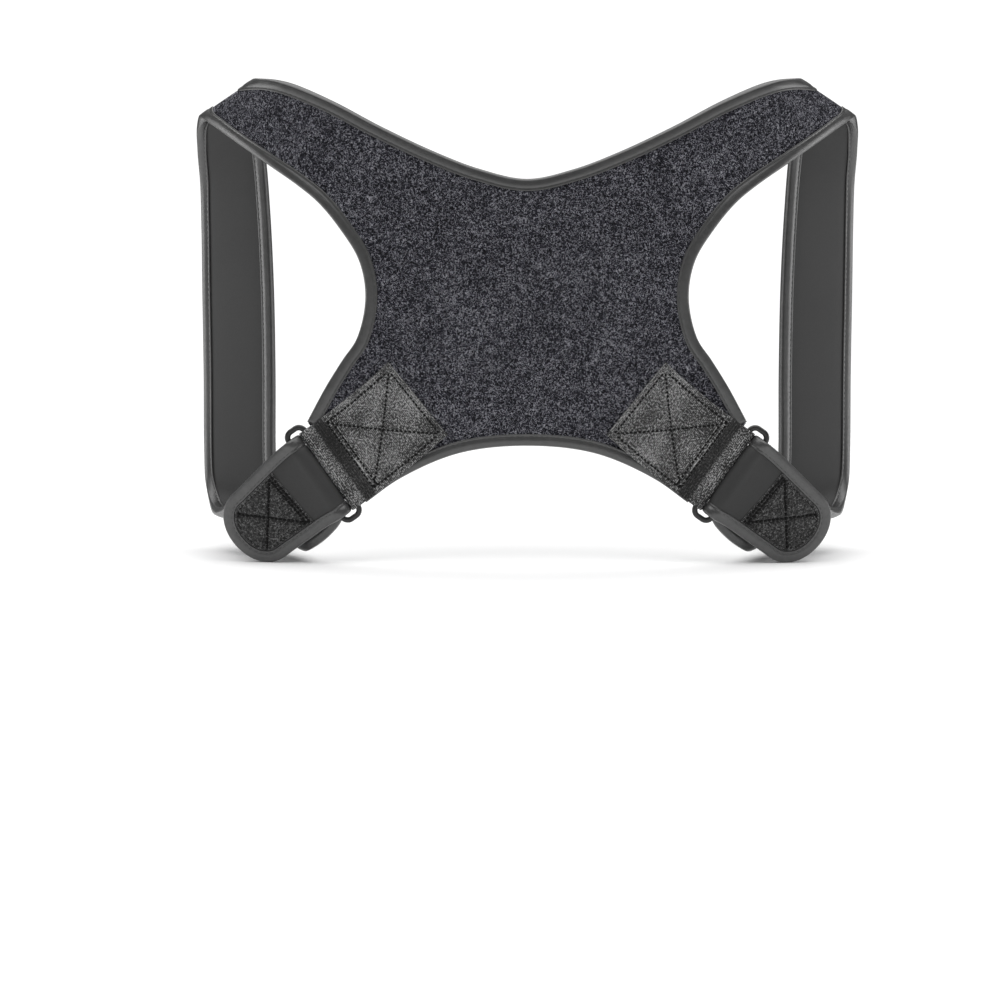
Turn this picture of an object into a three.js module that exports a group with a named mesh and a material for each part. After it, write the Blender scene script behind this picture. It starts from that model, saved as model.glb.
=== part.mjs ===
import * as THREE from 'three';

// A posture corrector: an X-shaped back panel whose upper arms run over the shoulders as straps,
// pass under the arms and fasten through a ring at each lower corner of the panel.
// X runs across the back, Y from the back to the chest, Z up. All sizes are in millimetres.

// Overall sizes
const HALF_SPAN = 182; // middle of the back to the outer edge of a shoulder strap
const HEIGHT = 260; // lowest point of the flaps to the top of the neck edge
const LOOP_DEPTH = 98; // back panel to the farthest edge of a shoulder strap

// Straps and webbing
const STRAP_WIDTH = 50; // finished width, binding included
const WEBBING_WIDTH = 50;
const WEBBING_THICKNESS = 1.5;
const WEBBING_FRONT = 60; // length of the webbing sewn on the panel's outside
const WEBBING_BACK = 40; // length of its other end, sewn on the inside
const FLAP_LENGTH = 56.5; // free end of a strap, from the ring bar to its tip
const FLAP_TAPER = 0.88; // width of the flap where its round end starts, as a share
const PATCH_START = 14; // ring bar to the straight edge of the end patch
const PATCH_THICKNESS = 0.9;

// Layers of the fabric
const FACE_THICKNESS = 1.0; // brushed loop fabric
const LINING_THICKNESS = 2.0; // foam with its smooth lining
const LAYER_GAP = 0.2;
const BINDING_THICKNESS = 0.6;
const BINDING_WIDTH = 6.5;
const BINDING_GAP = 0.25;
const PIECE_GAP = 0.3; // between pieces that touch on the real object
const END_PRESS = 0.55; // thickness of the panel's lower corners, pressed flat under the webbing

// Ring
const RING_WIRE = 3.0;
const RING_SIDE_GAP = 1.9; // strap edge to the ring's short side
const RING_X = 0.598; // place of the ring's middle, as shares of HALF_SPAN and HEIGHT
const RING_Z = 0.184;
const RING_SLOPE = 35; // how far the strap points down at the ring, in degrees
const STUB_SETBACK = 8; // ring bar to the end of the panel's lower corner
const STUB_MARGINS = { arm: 4.5, bottom: 1.5 }; // how far that corner passes the webbing's two edges

// Half of the fabric's thickness and of the bound edge's, and how far the fabric's edge lies inside the binding
const HALF_STACK = (FACE_THICKNESS + LAYER_GAP + LINING_THICKNESS) / 2;
const HALF_BOUND = HALF_STACK + BINDING_GAP + BINDING_THICKNESS;
const EDGE_INSET = BINDING_GAP + BINDING_THICKNESS;
const FABRIC_WIDTH = STRAP_WIDTH - 2 * EDGE_INSET;
const LEG_LENGTH = BINDING_WIDTH - EDGE_INSET; // how far the binding covers the fabric

const X = new THREE.Vector3(1, 0, 0);
const Y = new THREE.Vector3(0, 1, 0);
const Z = new THREE.Vector3(0, 0, 1);
const rad = THREE.MathUtils.degToRad;
const lerp = THREE.MathUtils.lerp;
const at = (x, y, z) => new THREE.Vector3(x * HALF_SPAN, y * LOOP_DEPTH, z * HEIGHT);
const plus = (point, ...steps) => {
  const sum = point.clone();
  for (const [direction, length] of steps) sum.addScaledVector(direction, length);
  return sum;
};

// Directions at the right ring: `outward` along the strap, down and out, and `along` the ring bar
const slopeDirection = (slope) => plus(new THREE.Vector3(), [X, Math.cos(rad(slope))], [Z, -Math.sin(rad(slope))]);
const barDirection = (slope) => plus(new THREE.Vector3(), [X, Math.sin(rad(slope))], [Z, Math.cos(rad(slope))]);
const outward = slopeDirection(RING_SLOPE);
const along = barDirection(RING_SLOPE);
const ringCentre = at(RING_X, 0, RING_Z);
const ringRadius = RING_WIRE / 2;
const webbingTurn = ringRadius + PIECE_GAP + WEBBING_THICKNESS / 2;
const strapTurn = ringRadius + PIECE_GAP + HALF_BOUND;
const barSpacing = 2 * ringRadius + 3 * PIECE_GAP + WEBBING_THICKNESS + 2 * HALF_BOUND;
const panelBar = plus(ringCentre, [outward, -barSpacing / 2]);
const strapBar = plus(ringCentre, [outward, barSpacing / 2]);

// Finished edges of the right half of the panel, from the lower corner to the crest of the shoulder.
// Columns are shares of HALF_SPAN, LOOP_DEPTH and HEIGHT: the armhole edge, then the edge across from it,
// which is the bottom edge, the middle line and the neck edge in turn. Last, the steps to the next row.
const PANEL_ROWS = [
  // arm x, arm y, arm z, inner x, inner y, inner z, steps
  [0.590, 0.0, 0.363, 0.371, 0.0, 0.175, 1],
  [0.541, 0.0, 0.418, 0.200, 0.0, 0.2265, 1],
  [0.498, 0.0, 0.4635, 0.0, 0.0, 0.242, 2],
  [0.473, 0.0, 0.546, 0.0, 0.0, 0.515, 2],
  [0.491, 0.005, 0.621, 0.0, 0.0, 0.789, 2],
  [0.548, 0.02, 0.687, 0.137, 0.0, 0.809, 1],
  [0.610, 0.05, 0.739, 0.269, 0.0, 0.844, 1],
  [0.670, 0.10, 0.7735, 0.4275, 0.01, 0.896, 2],
  [0.757, 0.20, 0.815, 0.570, 0.04, 0.948, 2],
  [0.854, 0.35, 0.861, 0.697, 0.11, 0.985, 2],
];
const CORNER_ROWS = { bottom: 3, neck: 5 }; // rows whose inner end is on the middle line

// Middle of the right strap from the crest to the ring, as shares of the same sizes, and the way it faces:
// how far its outer edge is turned towards the chest and how far it rises, in degrees. Last, the steps.
const STRAP_ROWS = [
  // x, y, z, turn, rise, steps
  [0.846, 0.350, 0.946, 42, -30, 2],
  [0.887, 0.455, 0.953, 43, -24, 2],
  [0.908, 0.590, 0.937, 42, -23, 2],
  [0.909, 0.735, 0.889, 40, -23, 2],
  [0.899, 0.832, 0.813, 37, -22, 2],
  [0.892, 0.865, 0.704, 36, -16, 1],
  [0.886, 0.867, 0.550, 35, -7, 1],
  [0.883, 0.867, 0.373, 35, -2, 2],
  [0.883, 0.862, 0.205, 35, 3, 2],
  [0.877, 0.820, 0.120, 33, 8, 2],
  [0.860, 0.720, 0.076, 29, 12, 2],
  [0.834, 0.585, 0.057, 24, 16, 2],
  [0.798, 0.430, 0.060, 19, 21, 2],
  [0.768, 0.270, 0.069, 14, 30, 2],
  [0.736, 0.160, 0.087, 10, 39, 1],
  [0.690, 0.100, 0.114, 6, 46, 1],
  [0.643, 0.062, 0.148, 3, 50.5, 1],
];
const CREST_ROW = 1;
const SEAM_ROW = 2; // the panel and the straps are joined here, behind the crest
const STRAP_LEAN = 13; // the strap meets the ring leaning this far towards the chest, in degrees
const FLAP_LEAN = [24, 14]; // lean of the flap at the ring and at its end, in degrees
const FLAP_SLOPE = 40.5; // how far the flap points down once it is clear of the ring
const FLAP_BEND = 0.25; // share of the flap over which it settles to that lean and slope
const TURN_STEPS = 8;

// Evenly numbered spline: a whole number gives back the point of that row.
function splineThrough(points) {
  const curve = new THREE.CatmullRomCurve3(points);
  return (row) => curve.getPoint(THREE.MathUtils.clamp(row / (points.length - 1), 0, 1));
}

function acrossDirection(turn, rise) {
  const level = Math.cos(rad(rise));
  return new THREE.Vector3(level * Math.cos(rad(turn)), level * Math.sin(rad(turn)), Math.sin(rad(rise)));
}

const mirrored = (point) => new THREE.Vector3(-point.x, point.y, point.z);

// The two finished edges of the right half, row by row.
const stubEnd = plus(panelBar, [outward, -STUB_SETBACK]);
const armPoints = [plus(stubEnd, [along, WEBBING_WIDTH / 2 + STUB_MARGINS.arm])];
const innerPoints = [plus(stubEnd, [along, -WEBBING_WIDTH / 2 - STUB_MARGINS.bottom])];
const rowSteps = [2];
for (const [ax, ay, az, bx, by, bz, steps] of PANEL_ROWS) {
  armPoints.push(at(ax, ay, az));
  innerPoints.push(at(bx, by, bz));
  rowSteps.push(steps);
}
const firstStrapRow = armPoints.length;
for (const [x, y, z, turn, rise, steps] of STRAP_ROWS) {
  const across = acrossDirection(turn, rise);
  armPoints.push(plus(at(x, y, z), [across, STRAP_WIDTH / 2]));
  innerPoints.push(plus(at(x, y, z), [across, -STRAP_WIDTH / 2]));
  rowSteps.push(steps);
}
const turnPoint = (bar, radius, angle, side) =>
  plus(bar, [Y, side * radius * Math.cos(rad(angle))], [outward, -side * radius * Math.sin(rad(angle))]);
const strapAtRing = turnPoint(strapBar, strapTurn, STRAP_LEAN, 1);
armPoints.push(plus(strapAtRing, [along, STRAP_WIDTH / 2]));
innerPoints.push(plus(strapAtRing, [along, -STRAP_WIDTH / 2]));
const lastRow = armPoints.length - 1;
const crestRow = firstStrapRow + CREST_ROW;
const seamRow = firstStrapRow + SEAM_ROW;

const armEdge = splineThrough(armPoints);
const { bottom, neck } = CORNER_ROWS;
const bottomHalf = innerPoints.slice(0, bottom);
const bottomEdge = splineThrough([...bottomHalf, innerPoints[bottom], ...bottomHalf.map(mirrored).reverse()]);
const neckHalf = innerPoints.slice(neck + 1);
const neckEdge = splineThrough([...neckHalf.map(mirrored).reverse(), innerPoints[neck], ...neckHalf]);

// Edge across from the armhole: bottom edge, middle line, then neck edge.
function innerEdge(row) {
  if (row <= bottom) return bottomEdge(row);
  if (row >= neck) return neckEdge(row - neck + neckHalf.length);
  const share = (row - bottom) / (neck - bottom);
  return innerPoints[bottom].clone().lerp(innerPoints[neck], share);
}

// The panel's lower corners are pressed thin under the webbing.
const press = (row) => lerp(END_PRESS, 1, Math.min(1, row));

// Direction of a finished edge at a row: side 0 is the armhole edge, side 1 the edge across from it.
function edgeTangent(row, side) {
  const edge = side === 0 ? armEdge : innerEdge;
  const before = Math.max(row - 0.02, side === 1 && row >= neck ? neck : 0);
  const after = Math.min(row + 0.02, side === 1 && row <= bottom ? bottom : lastRow);
  return edge(after).sub(edge(before)).normalize();
}

// Fabric's own two edges, inside the binding. A row that crosses an edge at a slant is cut back further.
function fabricEdges(row) {
  const arm = armEdge(row);
  let inner = innerEdge(row);
  const across = arm.clone().sub(inner).normalize();
  const slant = [0, 1].map((side) => 1 / across.clone().cross(edgeTangent(row, side)).length());
  arm.addScaledVector(across, -EDGE_INSET * slant[0]);
  if (row >= bottom && row <= neck) {
    const share = (row - bottom) / (neck - bottom);
    const lowest = plus(innerPoints[bottom], [Z, EDGE_INSET]);
    inner = lowest.lerp(plus(innerPoints[neck], [Z, -EDGE_INSET]), share);
  } else {
    inner.addScaledVector(across, EDGE_INSET * slant[1]);
  }
  return { arm, inner, across, slant };
}

// A point of the middle surface and its outward normal: `share` is 0 at the armhole edge of the fabric
// and 1 at the edge across from it.
function fabricPoint(row, share) {
  const place = (r) => {
    const { arm, inner } = fabricEdges(r);
    return arm.lerp(inner, share);
  };
  const step = 1e-3;
  const forward = place(Math.min(row + step, lastRow)).sub(place(Math.max(row - step, 0)));
  const { across } = fabricEdges(row);
  const normal = across.clone().cross(forward).normalize();
  return { point: place(row), normal, press: press(row) };
}

// One row of grid points between the two edges, with lines where the two bindings end.
function fabricRow(row) {
  const { arm, inner, slant } = fabricEdges(row);
  const [armLeg, innerLeg] = slant.map((stretch) => (LEG_LENGTH * stretch) / arm.distanceTo(inner));
  return [0, armLeg, 0.5, 1 - innerLeg, 1].map((share) => fabricPoint(row, share));
}

// Rows from one station to another, cut finer by each station's number of steps.
function rowsBetween(start, end) {
  const rows = [start];
  for (let station = Math.floor(start); station < end; station += 1) {
    const steps = rowSteps[station];
    for (let i = 1; i <= steps; i += 1) {
      const row = station + i / steps;
      if (row > start && row < end) rows.push(row);
    }
  }
  rows.push(end);
  return rows;
}

// The strap turns round the ring's outer bar, then runs on as the flap.
function turnRow(share) {
  const angle = lerp(STRAP_LEAN, 180 + FLAP_LEAN[0], share);
  const centre = turnPoint(strapBar, strapTurn, angle, 1);
  const normal = strapBar.clone().sub(centre).normalize();
  const edgeShare = LEG_LENGTH / FABRIC_WIDTH;
  return [0.5, 0.5 - edgeShare, 0, edgeShare - 0.5, -0.5].map((side) => ({
    point: plus(centre, [along, side * FABRIC_WIDTH]),
    normal,
    press: 1,
  }));
}

// Middle line of the flap, worked out in short equal steps from the ring to a little beyond its tip.
const FLAP_PARTS = 40;
const TIP_PARTS = 2;
const flapSettled = (share) => THREE.MathUtils.smoothstep(share, 0, FLAP_BEND);
const flapLine = [turnPoint(strapBar, strapTurn, 180 + FLAP_LEAN[0], 1)];
for (let i = 0; i < FLAP_PARTS + TIP_PARTS; i += 1) {
  const settled = flapSettled((i + 0.5) / FLAP_PARTS);
  const lean = rad(lerp(FLAP_LEAN[0], FLAP_LEAN[1], settled));
  const heading = slopeDirection(lerp(RING_SLOPE, FLAP_SLOPE, settled));
  const part = FLAP_LENGTH / FLAP_PARTS;
  flapLine.push(plus(flapLine[i], [heading, part * Math.cos(lean)], [Y, part * Math.sin(lean)]));
}
const flapCentre = splineThrough(flapLine);

// A point of the flap: `reach` is its distance from the ring as a share, `side` its distance in mm
// from the middle line, towards the armhole edge.
function flapPoint(reach, side) {
  const settled = flapSettled(reach);
  const across = barDirection(lerp(RING_SLOPE, FLAP_SLOPE, settled));
  const lean = rad(lerp(FLAP_LEAN[0], FLAP_LEAN[1], settled));
  const heading = slopeDirection(lerp(RING_SLOPE, FLAP_SLOPE, settled)).multiplyScalar(Math.cos(lean));
  heading.addScaledVector(Y, Math.sin(lean));
  const normal = across.clone().cross(heading).normalize();
  return { point: plus(flapCentre(reach * FLAP_PARTS), [across, side]), normal, press: 1 };
}

// Half of the flap fabric's width along its reach: a slight taper, then a blunt round end.
const ROUND_START = 0.66;
const ROUND_POWER = 2.4;
function flapHalf(reach) {
  const taper = lerp(1, FLAP_TAPER, Math.min(1, reach / ROUND_START));
  const end = Math.max(0, (reach - ROUND_START) / (1 - ROUND_START));
  return (FABRIC_WIDTH / 2) * taper * Math.sqrt(Math.max(0, 1 - end ** ROUND_POWER));
}
const ROUND_ANGLES = [20, 38, 54, 68, 80];
const flapReaches = [0.12, 0.25, 0.45, ROUND_START]; // rows of the flap, then those of its round end
for (const angle of ROUND_ANGLES) flapReaches.push(lerp(ROUND_START, 1, Math.sin(rad(angle))));

function flapRow(reach) {
  const half = flapHalf(reach);
  const bound = Math.max(half - LEG_LENGTH, half * 0.5);
  return [half, bound, 0, -bound, -half].map((side) => flapPoint(reach, side));
}

// A sheet is a grid of points with normals; its triangles share their vertices.
function gridSheet(rows) {
  const columns = rows[0].length;
  const points = rows.flat();
  const triangles = [];
  for (let i = 0; i + 1 < rows.length; i += 1) {
    for (let j = 0; j + 1 < columns; j += 1) {
      const a = i * columns + j;
      const b = a + columns;
      triangles.push([a, b, a + 1], [a + 1, b, b + 1]);
    }
  }
  return { points, triangles };
}

// A sheet and its mirror image, joined where the grid meets the middle of the back.
function withMirror(sheet) {
  const points = [...sheet.points];
  const twin = sheet.points.map((vertex, index) => {
    if (Math.abs(vertex.point.x) < 1e-6) {
      vertex.point.x = 0;
      vertex.normal.set(0, -1, 0);
      return index;
    }
    points.push({ ...vertex, point: mirrored(vertex.point), normal: mirrored(vertex.normal) });
    return points.length - 1;
  });
  const triangles = [...sheet.triangles];
  for (const [a, b, c] of sheet.triangles) triangles.push([twin[a], twin[c], twin[b]]);
  return { points, triangles };
}

// Closed geometry from vertices and triangles.
function closedGeometry(vertices, triangles) {
  const geometry = new THREE.BufferGeometry();
  geometry.setAttribute('position', new THREE.Float32BufferAttribute(vertices.flatMap((v) => v.toArray()), 3));
  geometry.setIndex(triangles.flat());
  geometry.computeVertexNormals();
  return geometry;
}

// What is left of a vector once its share along a direction is taken out.
const squareTo = (direction, vector) =>
  vector.addScaledVector(direction, -vector.dot(direction) / direction.lengthSq());

// A wall between two offsets of a sheet along its normals, closed along its rim. Each cell of the rim
// is cut along the diagonal that lies farther inside, clear of the binding.
function slab(sheet, low, high) {
  const count = sheet.points.length;
  const offset = (amount) => sheet.points.map((v) => plus(v.point, [v.normal, amount * v.press]));
  const vertices = [...offset(high), ...offset(low)];
  const triangles = [];
  const rim = new Map();
  for (const [a, b, c] of sheet.triangles) {
    triangles.push([a, b, c], [a + count, c + count, b + count]);
    for (const [from, to, inside] of [[a, b, c], [b, c, a], [c, a, b]]) {
      if (!rim.delete(`${to},${from}`)) rim.set(`${from},${to}`, [from, to, inside]);
    }
  }
  for (const [from, to, inside] of rim.values()) {
    const bow = vertices[to].clone().add(vertices[from + count]);
    bow.sub(vertices[from]).sub(vertices[to + count]);
    const away = squareTo(vertices[to].clone().sub(vertices[from]), vertices[from].clone().sub(vertices[inside]));
    if (bow.dot(away) > 0) triangles.push([to, from, to + count], [from, from + count, to + count]);
    else triangles.push([to, from, from + count], [to, from + count, to + count]);
  }
  return closedGeometry(vertices, triangles);
}

// Section of the folded edge binding. `surface(inside)` is the middle surface at a distance inside the
// edge of the fabric; the binding covers both faces and the edge itself. The corners run round its
// outside from the end of one leg to the end of the other, then back round its inside.
function bindingSection(surface) {
  const corner = (inside, level, gap) => {
    const { point, normal, press: pressed } = surface(inside);
    return plus(point, [normal, level * (HALF_STACK * pressed + gap)]);
  };
  return [
    corner(LEG_LENGTH, 1, EDGE_INSET),
    corner(-EDGE_INSET, 1, EDGE_INSET),
    corner(-EDGE_INSET, -1, EDGE_INSET),
    corner(LEG_LENGTH, -1, EDGE_INSET),
    corner(LEG_LENGTH, -1, BINDING_GAP),
    corner(-BINDING_GAP, -1, BINDING_GAP),
    corner(-BINDING_GAP, 1, BINDING_GAP),
    corner(LEG_LENGTH, 1, BINDING_GAP),
  ];
}

// Binding section at a row of the fabric, on its armhole edge (side 0) or the edge across (side 1).
// On the flat panel it is square to the edge; where the fabric curves it lies along the row.
const CURVED_FROM = neck + 1;
function edgeSection(row, side) {
  const { arm, inner, slant } = fabricEdges(row);
  if (row >= CURVED_FROM) {
    const share = slant[side] / arm.distanceTo(inner);
    return bindingSection((inside) => fabricPoint(row, side === 0 ? inside * share : 1 - inside * share));
  }
  const tangent = edgeTangent(row, side);
  const inward = side === 0 ? inner.clone().sub(arm) : arm.clone().sub(inner);
  inward.addScaledVector(tangent, -inward.dot(tangent)).normalize();
  if (side === 1 && row === neck) inward.copy(Z).negate();
  if (side === 1 && row === bottom) inward.copy(Z);
  const finished = (side === 0 ? armEdge : innerEdge)(row);
  const { normal, press: pressed } = fabricPoint(row, side);
  return bindingSection((inside) => ({
    point: plus(finished, [inward, EDGE_INSET + inside]),
    normal,
    press: pressed,
  }));
}

function turnSection(share, side) {
  const row = turnRow(share);
  const { point, normal } = side === 0 ? row[0] : row[4];
  const inward = along.clone().multiplyScalar(side === 0 ? -1 : 1);
  return bindingSection((inside) => ({ point: plus(point, [inward, inside]), normal, press: 1 }));
}

// Binding section on the flap, square to its outline; side 0.5 is the very tip.
function flapSection(reach, side) {
  const step = 1e-3;
  const sign = side === 0 ? 1 : -1;
  const slope = (flapHalf(reach + step) - flapHalf(reach - step)) / (2 * step * FLAP_LENGTH);
  const size = Math.hypot(1, slope);
  return bindingSection((inside) => {
    if (side === 0.5) return flapPoint(1 - inside / FLAP_LENGTH, 0);
    const half = flapHalf(reach) - inside / size;
    return flapPoint(reach + (inside * slope) / size / FLAP_LENGTH, sign * half);
  });
}

// A binding through its sections, closed at its first end and joined to its mirror image at its last,
// which lies on the middle of the back. The cells of its legs are cut the way the fabric's are, and
// those of its walls along the diagonal that lies farther from the fabric.
function mirroredBinding(sections, reversed) {
  const sides = sections[0].length;
  const last = sections.length - 1;
  const vertices = sections.flat();
  const triangles = [];
  const corner = (i, j) => i * sides + (j % sides);
  const bowsOut = (i, [a, b, c, d]) => {
    const rim = vertices[c].clone().sub(vertices[a]);
    const away = squareTo(rim, vertices[corner(i, 5)].clone().sub(vertices[corner(i, 4)]));
    const bow = vertices[a].clone().add(vertices[d]).sub(vertices[b]).sub(vertices[c]);
    return bow.dot(away) > 0;
  };
  for (let i = 0; i < last; i += 1) {
    for (let j = 0; j < sides; j += 1) {
      const cell = [corner(i, j), corner(i, j + 1), corner(i + 1, j), corner(i + 1, j + 1)];
      const [a, b, c, d] = cell;
      const isWall = j === 1 || j === 5;
      const turned = isWall ? bowsOut(i, cell) : j >= 2 && j <= 4;
      if (turned) triangles.push([a, b, d], [a, d, c]);
      else triangles.push([a, b, c], [b, d, c]);
    }
  }
  for (let j = 0; j < sides / 2 - 1; j += 1) {
    const inner = sides - 1 - j;
    triangles.push([corner(0, j), corner(0, inner), corner(0, j + 1)]);
    triangles.push([corner(0, j + 1), corner(0, inner), corner(0, inner - 1)]);
  }
  const twin = vertices.map((vertex, index) => {
    if (index >= last * sides) return index;
    vertices.push(mirrored(vertex));
    return vertices.length - 1;
  });
  for (const [a, b, c] of [...triangles]) triangles.push([twin[a], twin[c], twin[b]]);
  return closedGeometry(vertices, reversed ? triangles.map(([a, b, c]) => [a, c, b]) : triangles);
}

// Rows of the whole run: panel, strap, turn round the ring, flap.
const seamStep = LAYER_GAP / 2 / armEdge(seamRow + 0.5).distanceTo(armEdge(seamRow - 0.5));
const panelRows = rowsBetween(0, seamRow - seamStep);
const strapFabricRows = rowsBetween(seamRow + seamStep, lastRow);
const allRows = rowsBetween(0, lastRow);
const turnShares = Array.from({ length: TURN_STEPS - 1 }, (_, i) => (i + 1) / TURN_STEPS);

const panelSheet = withMirror(gridSheet(panelRows.map(fabricRow)));
const strapSheet = gridSheet([
  ...strapFabricRows.map(fabricRow),
  ...turnShares.map(turnRow),
  ...[0, ...flapReaches].map(flapRow),
]);

// The long binding runs up one armhole, over the shoulder, round the flap and back along the neck.
const flapSections = (side) => [0, ...flapReaches].map((reach) => flapSection(reach, side));
const neckRows = allRows.filter((row) => row > neck);
const sideSections = [
  ...allRows.map((row) => edgeSection(row, 0)),
  ...turnShares.map((share) => turnSection(share, 0)),
  ...flapSections(0),
  flapSection(1, 0.5),
  ...flapSections(1).reverse(),
  ...turnShares.map((share) => turnSection(share, 1)).reverse(),
  ...neckRows.map((row) => edgeSection(row, 1)).reverse(),
];
const longBinding = [...sideSections, edgeSection(neck, 1)];
const bottomRows = allRows.filter((row) => row <= bottom);
const bottomBinding = bottomRows.map((row) => edgeSection(row, 1));

// Webbing: sewn on the outside of the lower corner, round the ring's inner bar, sewn on the inside.
const overBinding = (pressed) => HALF_STACK * pressed + EDGE_INSET + PIECE_GAP + WEBBING_THICKNESS / 2;
const PRESS_LENGTH = 28; // ring bar to where the panel has its full thickness
const BAR_CLOSE = 0.8; // the webbing closes in behind the ring's bar, as a share of its turn
const WEBBING_FAN = 4; // the webbing's far edge is turned this much more, in degrees
function webbingLeg(side, length) {
  // distance from the bar, height over the middle of the fabric
  const levels = [
    [STUB_SETBACK / 2, webbingTurn * BAR_CLOSE],
    [STUB_SETBACK, overBinding(END_PRESS)],
    [PRESS_LENGTH, overBinding(1)],
    [length, overBinding(1)],
  ];
  return levels.map(([distance, height]) => {
    const fan = RING_SLOPE + (WEBBING_FAN * distance) / WEBBING_FRONT;
    return {
      point: plus(panelBar, [slopeDirection(fan), -distance], [Y, -side * height]),
      across: barDirection(fan),
      normal: Y.clone().multiplyScalar(-side),
    };
  });
}
const webbingTurnRow = (angle) => {
  const point = plus(panelBar, [Y, -webbingTurn * Math.cos(rad(angle))], [outward, webbingTurn * Math.sin(rad(angle))]);
  return { point, across: along, normal: point.clone().sub(panelBar).normalize() };
};
const WEBBING_TURN_ANGLES = [0, 30, 60, 90, 120, 150, 180];
const webbingRows = [
  ...webbingLeg(1, WEBBING_FRONT).reverse(),
  ...WEBBING_TURN_ANGLES.map(webbingTurnRow),
  ...webbingLeg(-1, WEBBING_BACK),
];
const webbingSheet = gridSheet(
  webbingRows.map(({ point, across, normal }) =>
    [-0.5, 0, 0.5].map((side) => ({ point: plus(point, [across, side * WEBBING_WIDTH]), normal, press: 1 })),
  ),
);

// End patch: on the lining side of the flap, inside its binding.
const patchEdge = LEG_LENGTH + PIECE_GAP;
const patchTip = 1 - patchEdge / FLAP_LENGTH;
const patchShares = [0, 0.3, 0.55, 0.72, 0.85, 0.94, 1];
const patchSheet = gridSheet(
  patchShares.map((share) => {
    const reach = lerp(PATCH_START / FLAP_LENGTH, patchTip, share);
    const end = Math.max(0, (reach - ROUND_START) / (patchTip - ROUND_START));
    const taper = lerp(1, FLAP_TAPER, Math.min(1, reach / ROUND_START));
    const round = Math.sqrt(Math.max(0.05, 1 - end ** ROUND_POWER));
    const half = ((FABRIC_WIDTH / 2) * taper - patchEdge) * round;
    return [half, half / 2, 0, -half / 2, -half].map((side) => flapPoint(reach, side));
  }),
);

// Ring: a rounded frame of rounded wire, drawn flat and stood up in the plane of the back.
function ringGeometry() {
  const innerLength = STRAP_WIDTH + 2 * RING_SIDE_GAP;
  const innerHeight = barSpacing - RING_WIRE;
  const bevel = RING_WIRE * 0.3;
  const roundedRectangle = (target, length, height, radius) => {
    const [x, y] = [length / 2, height / 2];
    target.moveTo(-x + radius, -y);
    target.lineTo(x - radius, -y);
    target.absarc(x - radius, -y + radius, radius, -Math.PI / 2, 0, false);
    target.absarc(x - radius, y - radius, radius, 0, Math.PI / 2, false);
    target.absarc(-x + radius, y - radius, radius, Math.PI / 2, Math.PI, false);
    target.absarc(-x + radius, -y + radius, radius, Math.PI, 1.5 * Math.PI, false);
    return target;
  };
  const grow = RING_WIRE - bevel;
  const outline = roundedRectangle(
    new THREE.Shape(), innerLength + 2 * grow, innerHeight + 2 * grow, RING_WIRE);
  outline.holes.push(roundedRectangle(
    new THREE.Path(), innerLength + 2 * bevel, innerHeight + 2 * bevel, RING_WIRE / 2));
  const geometry = new THREE.ExtrudeGeometry(outline, {
    depth: RING_WIRE - 2 * bevel,
    bevelEnabled: true,
    bevelSize: bevel,
    bevelThickness: bevel,
    bevelSegments: 1,
    curveSegments: 4,
  });
  geometry.translate(0, 0, bevel - RING_WIRE / 2);
  return geometry;
}

// Materials
const material = (color, roughness) => new THREE.MeshStandardMaterial({ color, roughness, metalness: 0 });
const brushedLoop = material(0x3a3a42, 1);
const smoothLining = material(0x464646, 0.7);
const foldedBinding = material(0x4b4b4b, 0.6);
const wovenWebbing = material(0x5a5a5a, 0.8);
const brushedPatch = material(0x2c2c2c, 1);
const blackPlastic = material(0x2a2a2a, 0.4);

// The part hangs from the middle between its two shoulder crests, under their lining.
const crest = armEdge(crestRow).add(innerEdge(crestRow)).multiplyScalar(0.5);
const seat = new THREE.Vector3(0, crest.y, crest.z - HALF_BOUND);
const group = new THREE.Group();
group.position.copy(seat).negate();

function addPiece(name, geometry, look, parent = group) {
  const mesh = new THREE.Mesh(geometry, look);
  mesh.name = name;
  parent.add(mesh);
  return mesh;
}

const faceLow = HALF_STACK - FACE_THICKNESS;
const liningHigh = -HALF_STACK + LINING_THICKNESS;
addPiece('panel_face', slab(panelSheet, faceLow, HALF_STACK), brushedLoop);
addPiece('panel_lining', slab(panelSheet, -HALF_STACK, liningHigh), smoothLining);
addPiece('long_binding', mirroredBinding(longBinding, false), foldedBinding);
addPiece('bottom_binding', mirroredBinding(bottomBinding, true), foldedBinding);

for (const [name, flip] of [['right', 1], ['left', -1]]) {
  const half = new THREE.Group();
  half.scale.x = flip;
  group.add(half);
  addPiece(`strap_face_${name}`, slab(strapSheet, faceLow, HALF_STACK), brushedLoop, half);
  addPiece(`strap_lining_${name}`, slab(strapSheet, -HALF_STACK, liningHigh), smoothLining, half);
  addPiece(`webbing_${name}`, slab(webbingSheet, -WEBBING_THICKNESS / 2, WEBBING_THICKNESS / 2), wovenWebbing, half);
  const patchLow = -HALF_STACK - PIECE_GAP;
  addPiece(`end_patch_${name}`, slab(patchSheet, patchLow - PATCH_THICKNESS, patchLow), brushedPatch, half);
  const ring = addPiece(`ring_${name}`, ringGeometry(), blackPlastic, half);
  ring.position.copy(ringCentre);
  ring.rotation.set(Math.PI / 2, 0, 0);
  ring.rotation.order = 'YXZ';
  ring.rotation.y = rad(RING_SLOPE - 90);
}

export default group;
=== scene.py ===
# %% [markdown]
# # A posture corrector, dressed from its frame
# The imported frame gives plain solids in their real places. Each cell below makes one part of the
# real thing on top of them: first the camera, light and finishes, then the cloth, tape, webbing,
# rings and thread, and at last the floor. Lengths are in millimetres and become metres when a mesh
# is made.

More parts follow.
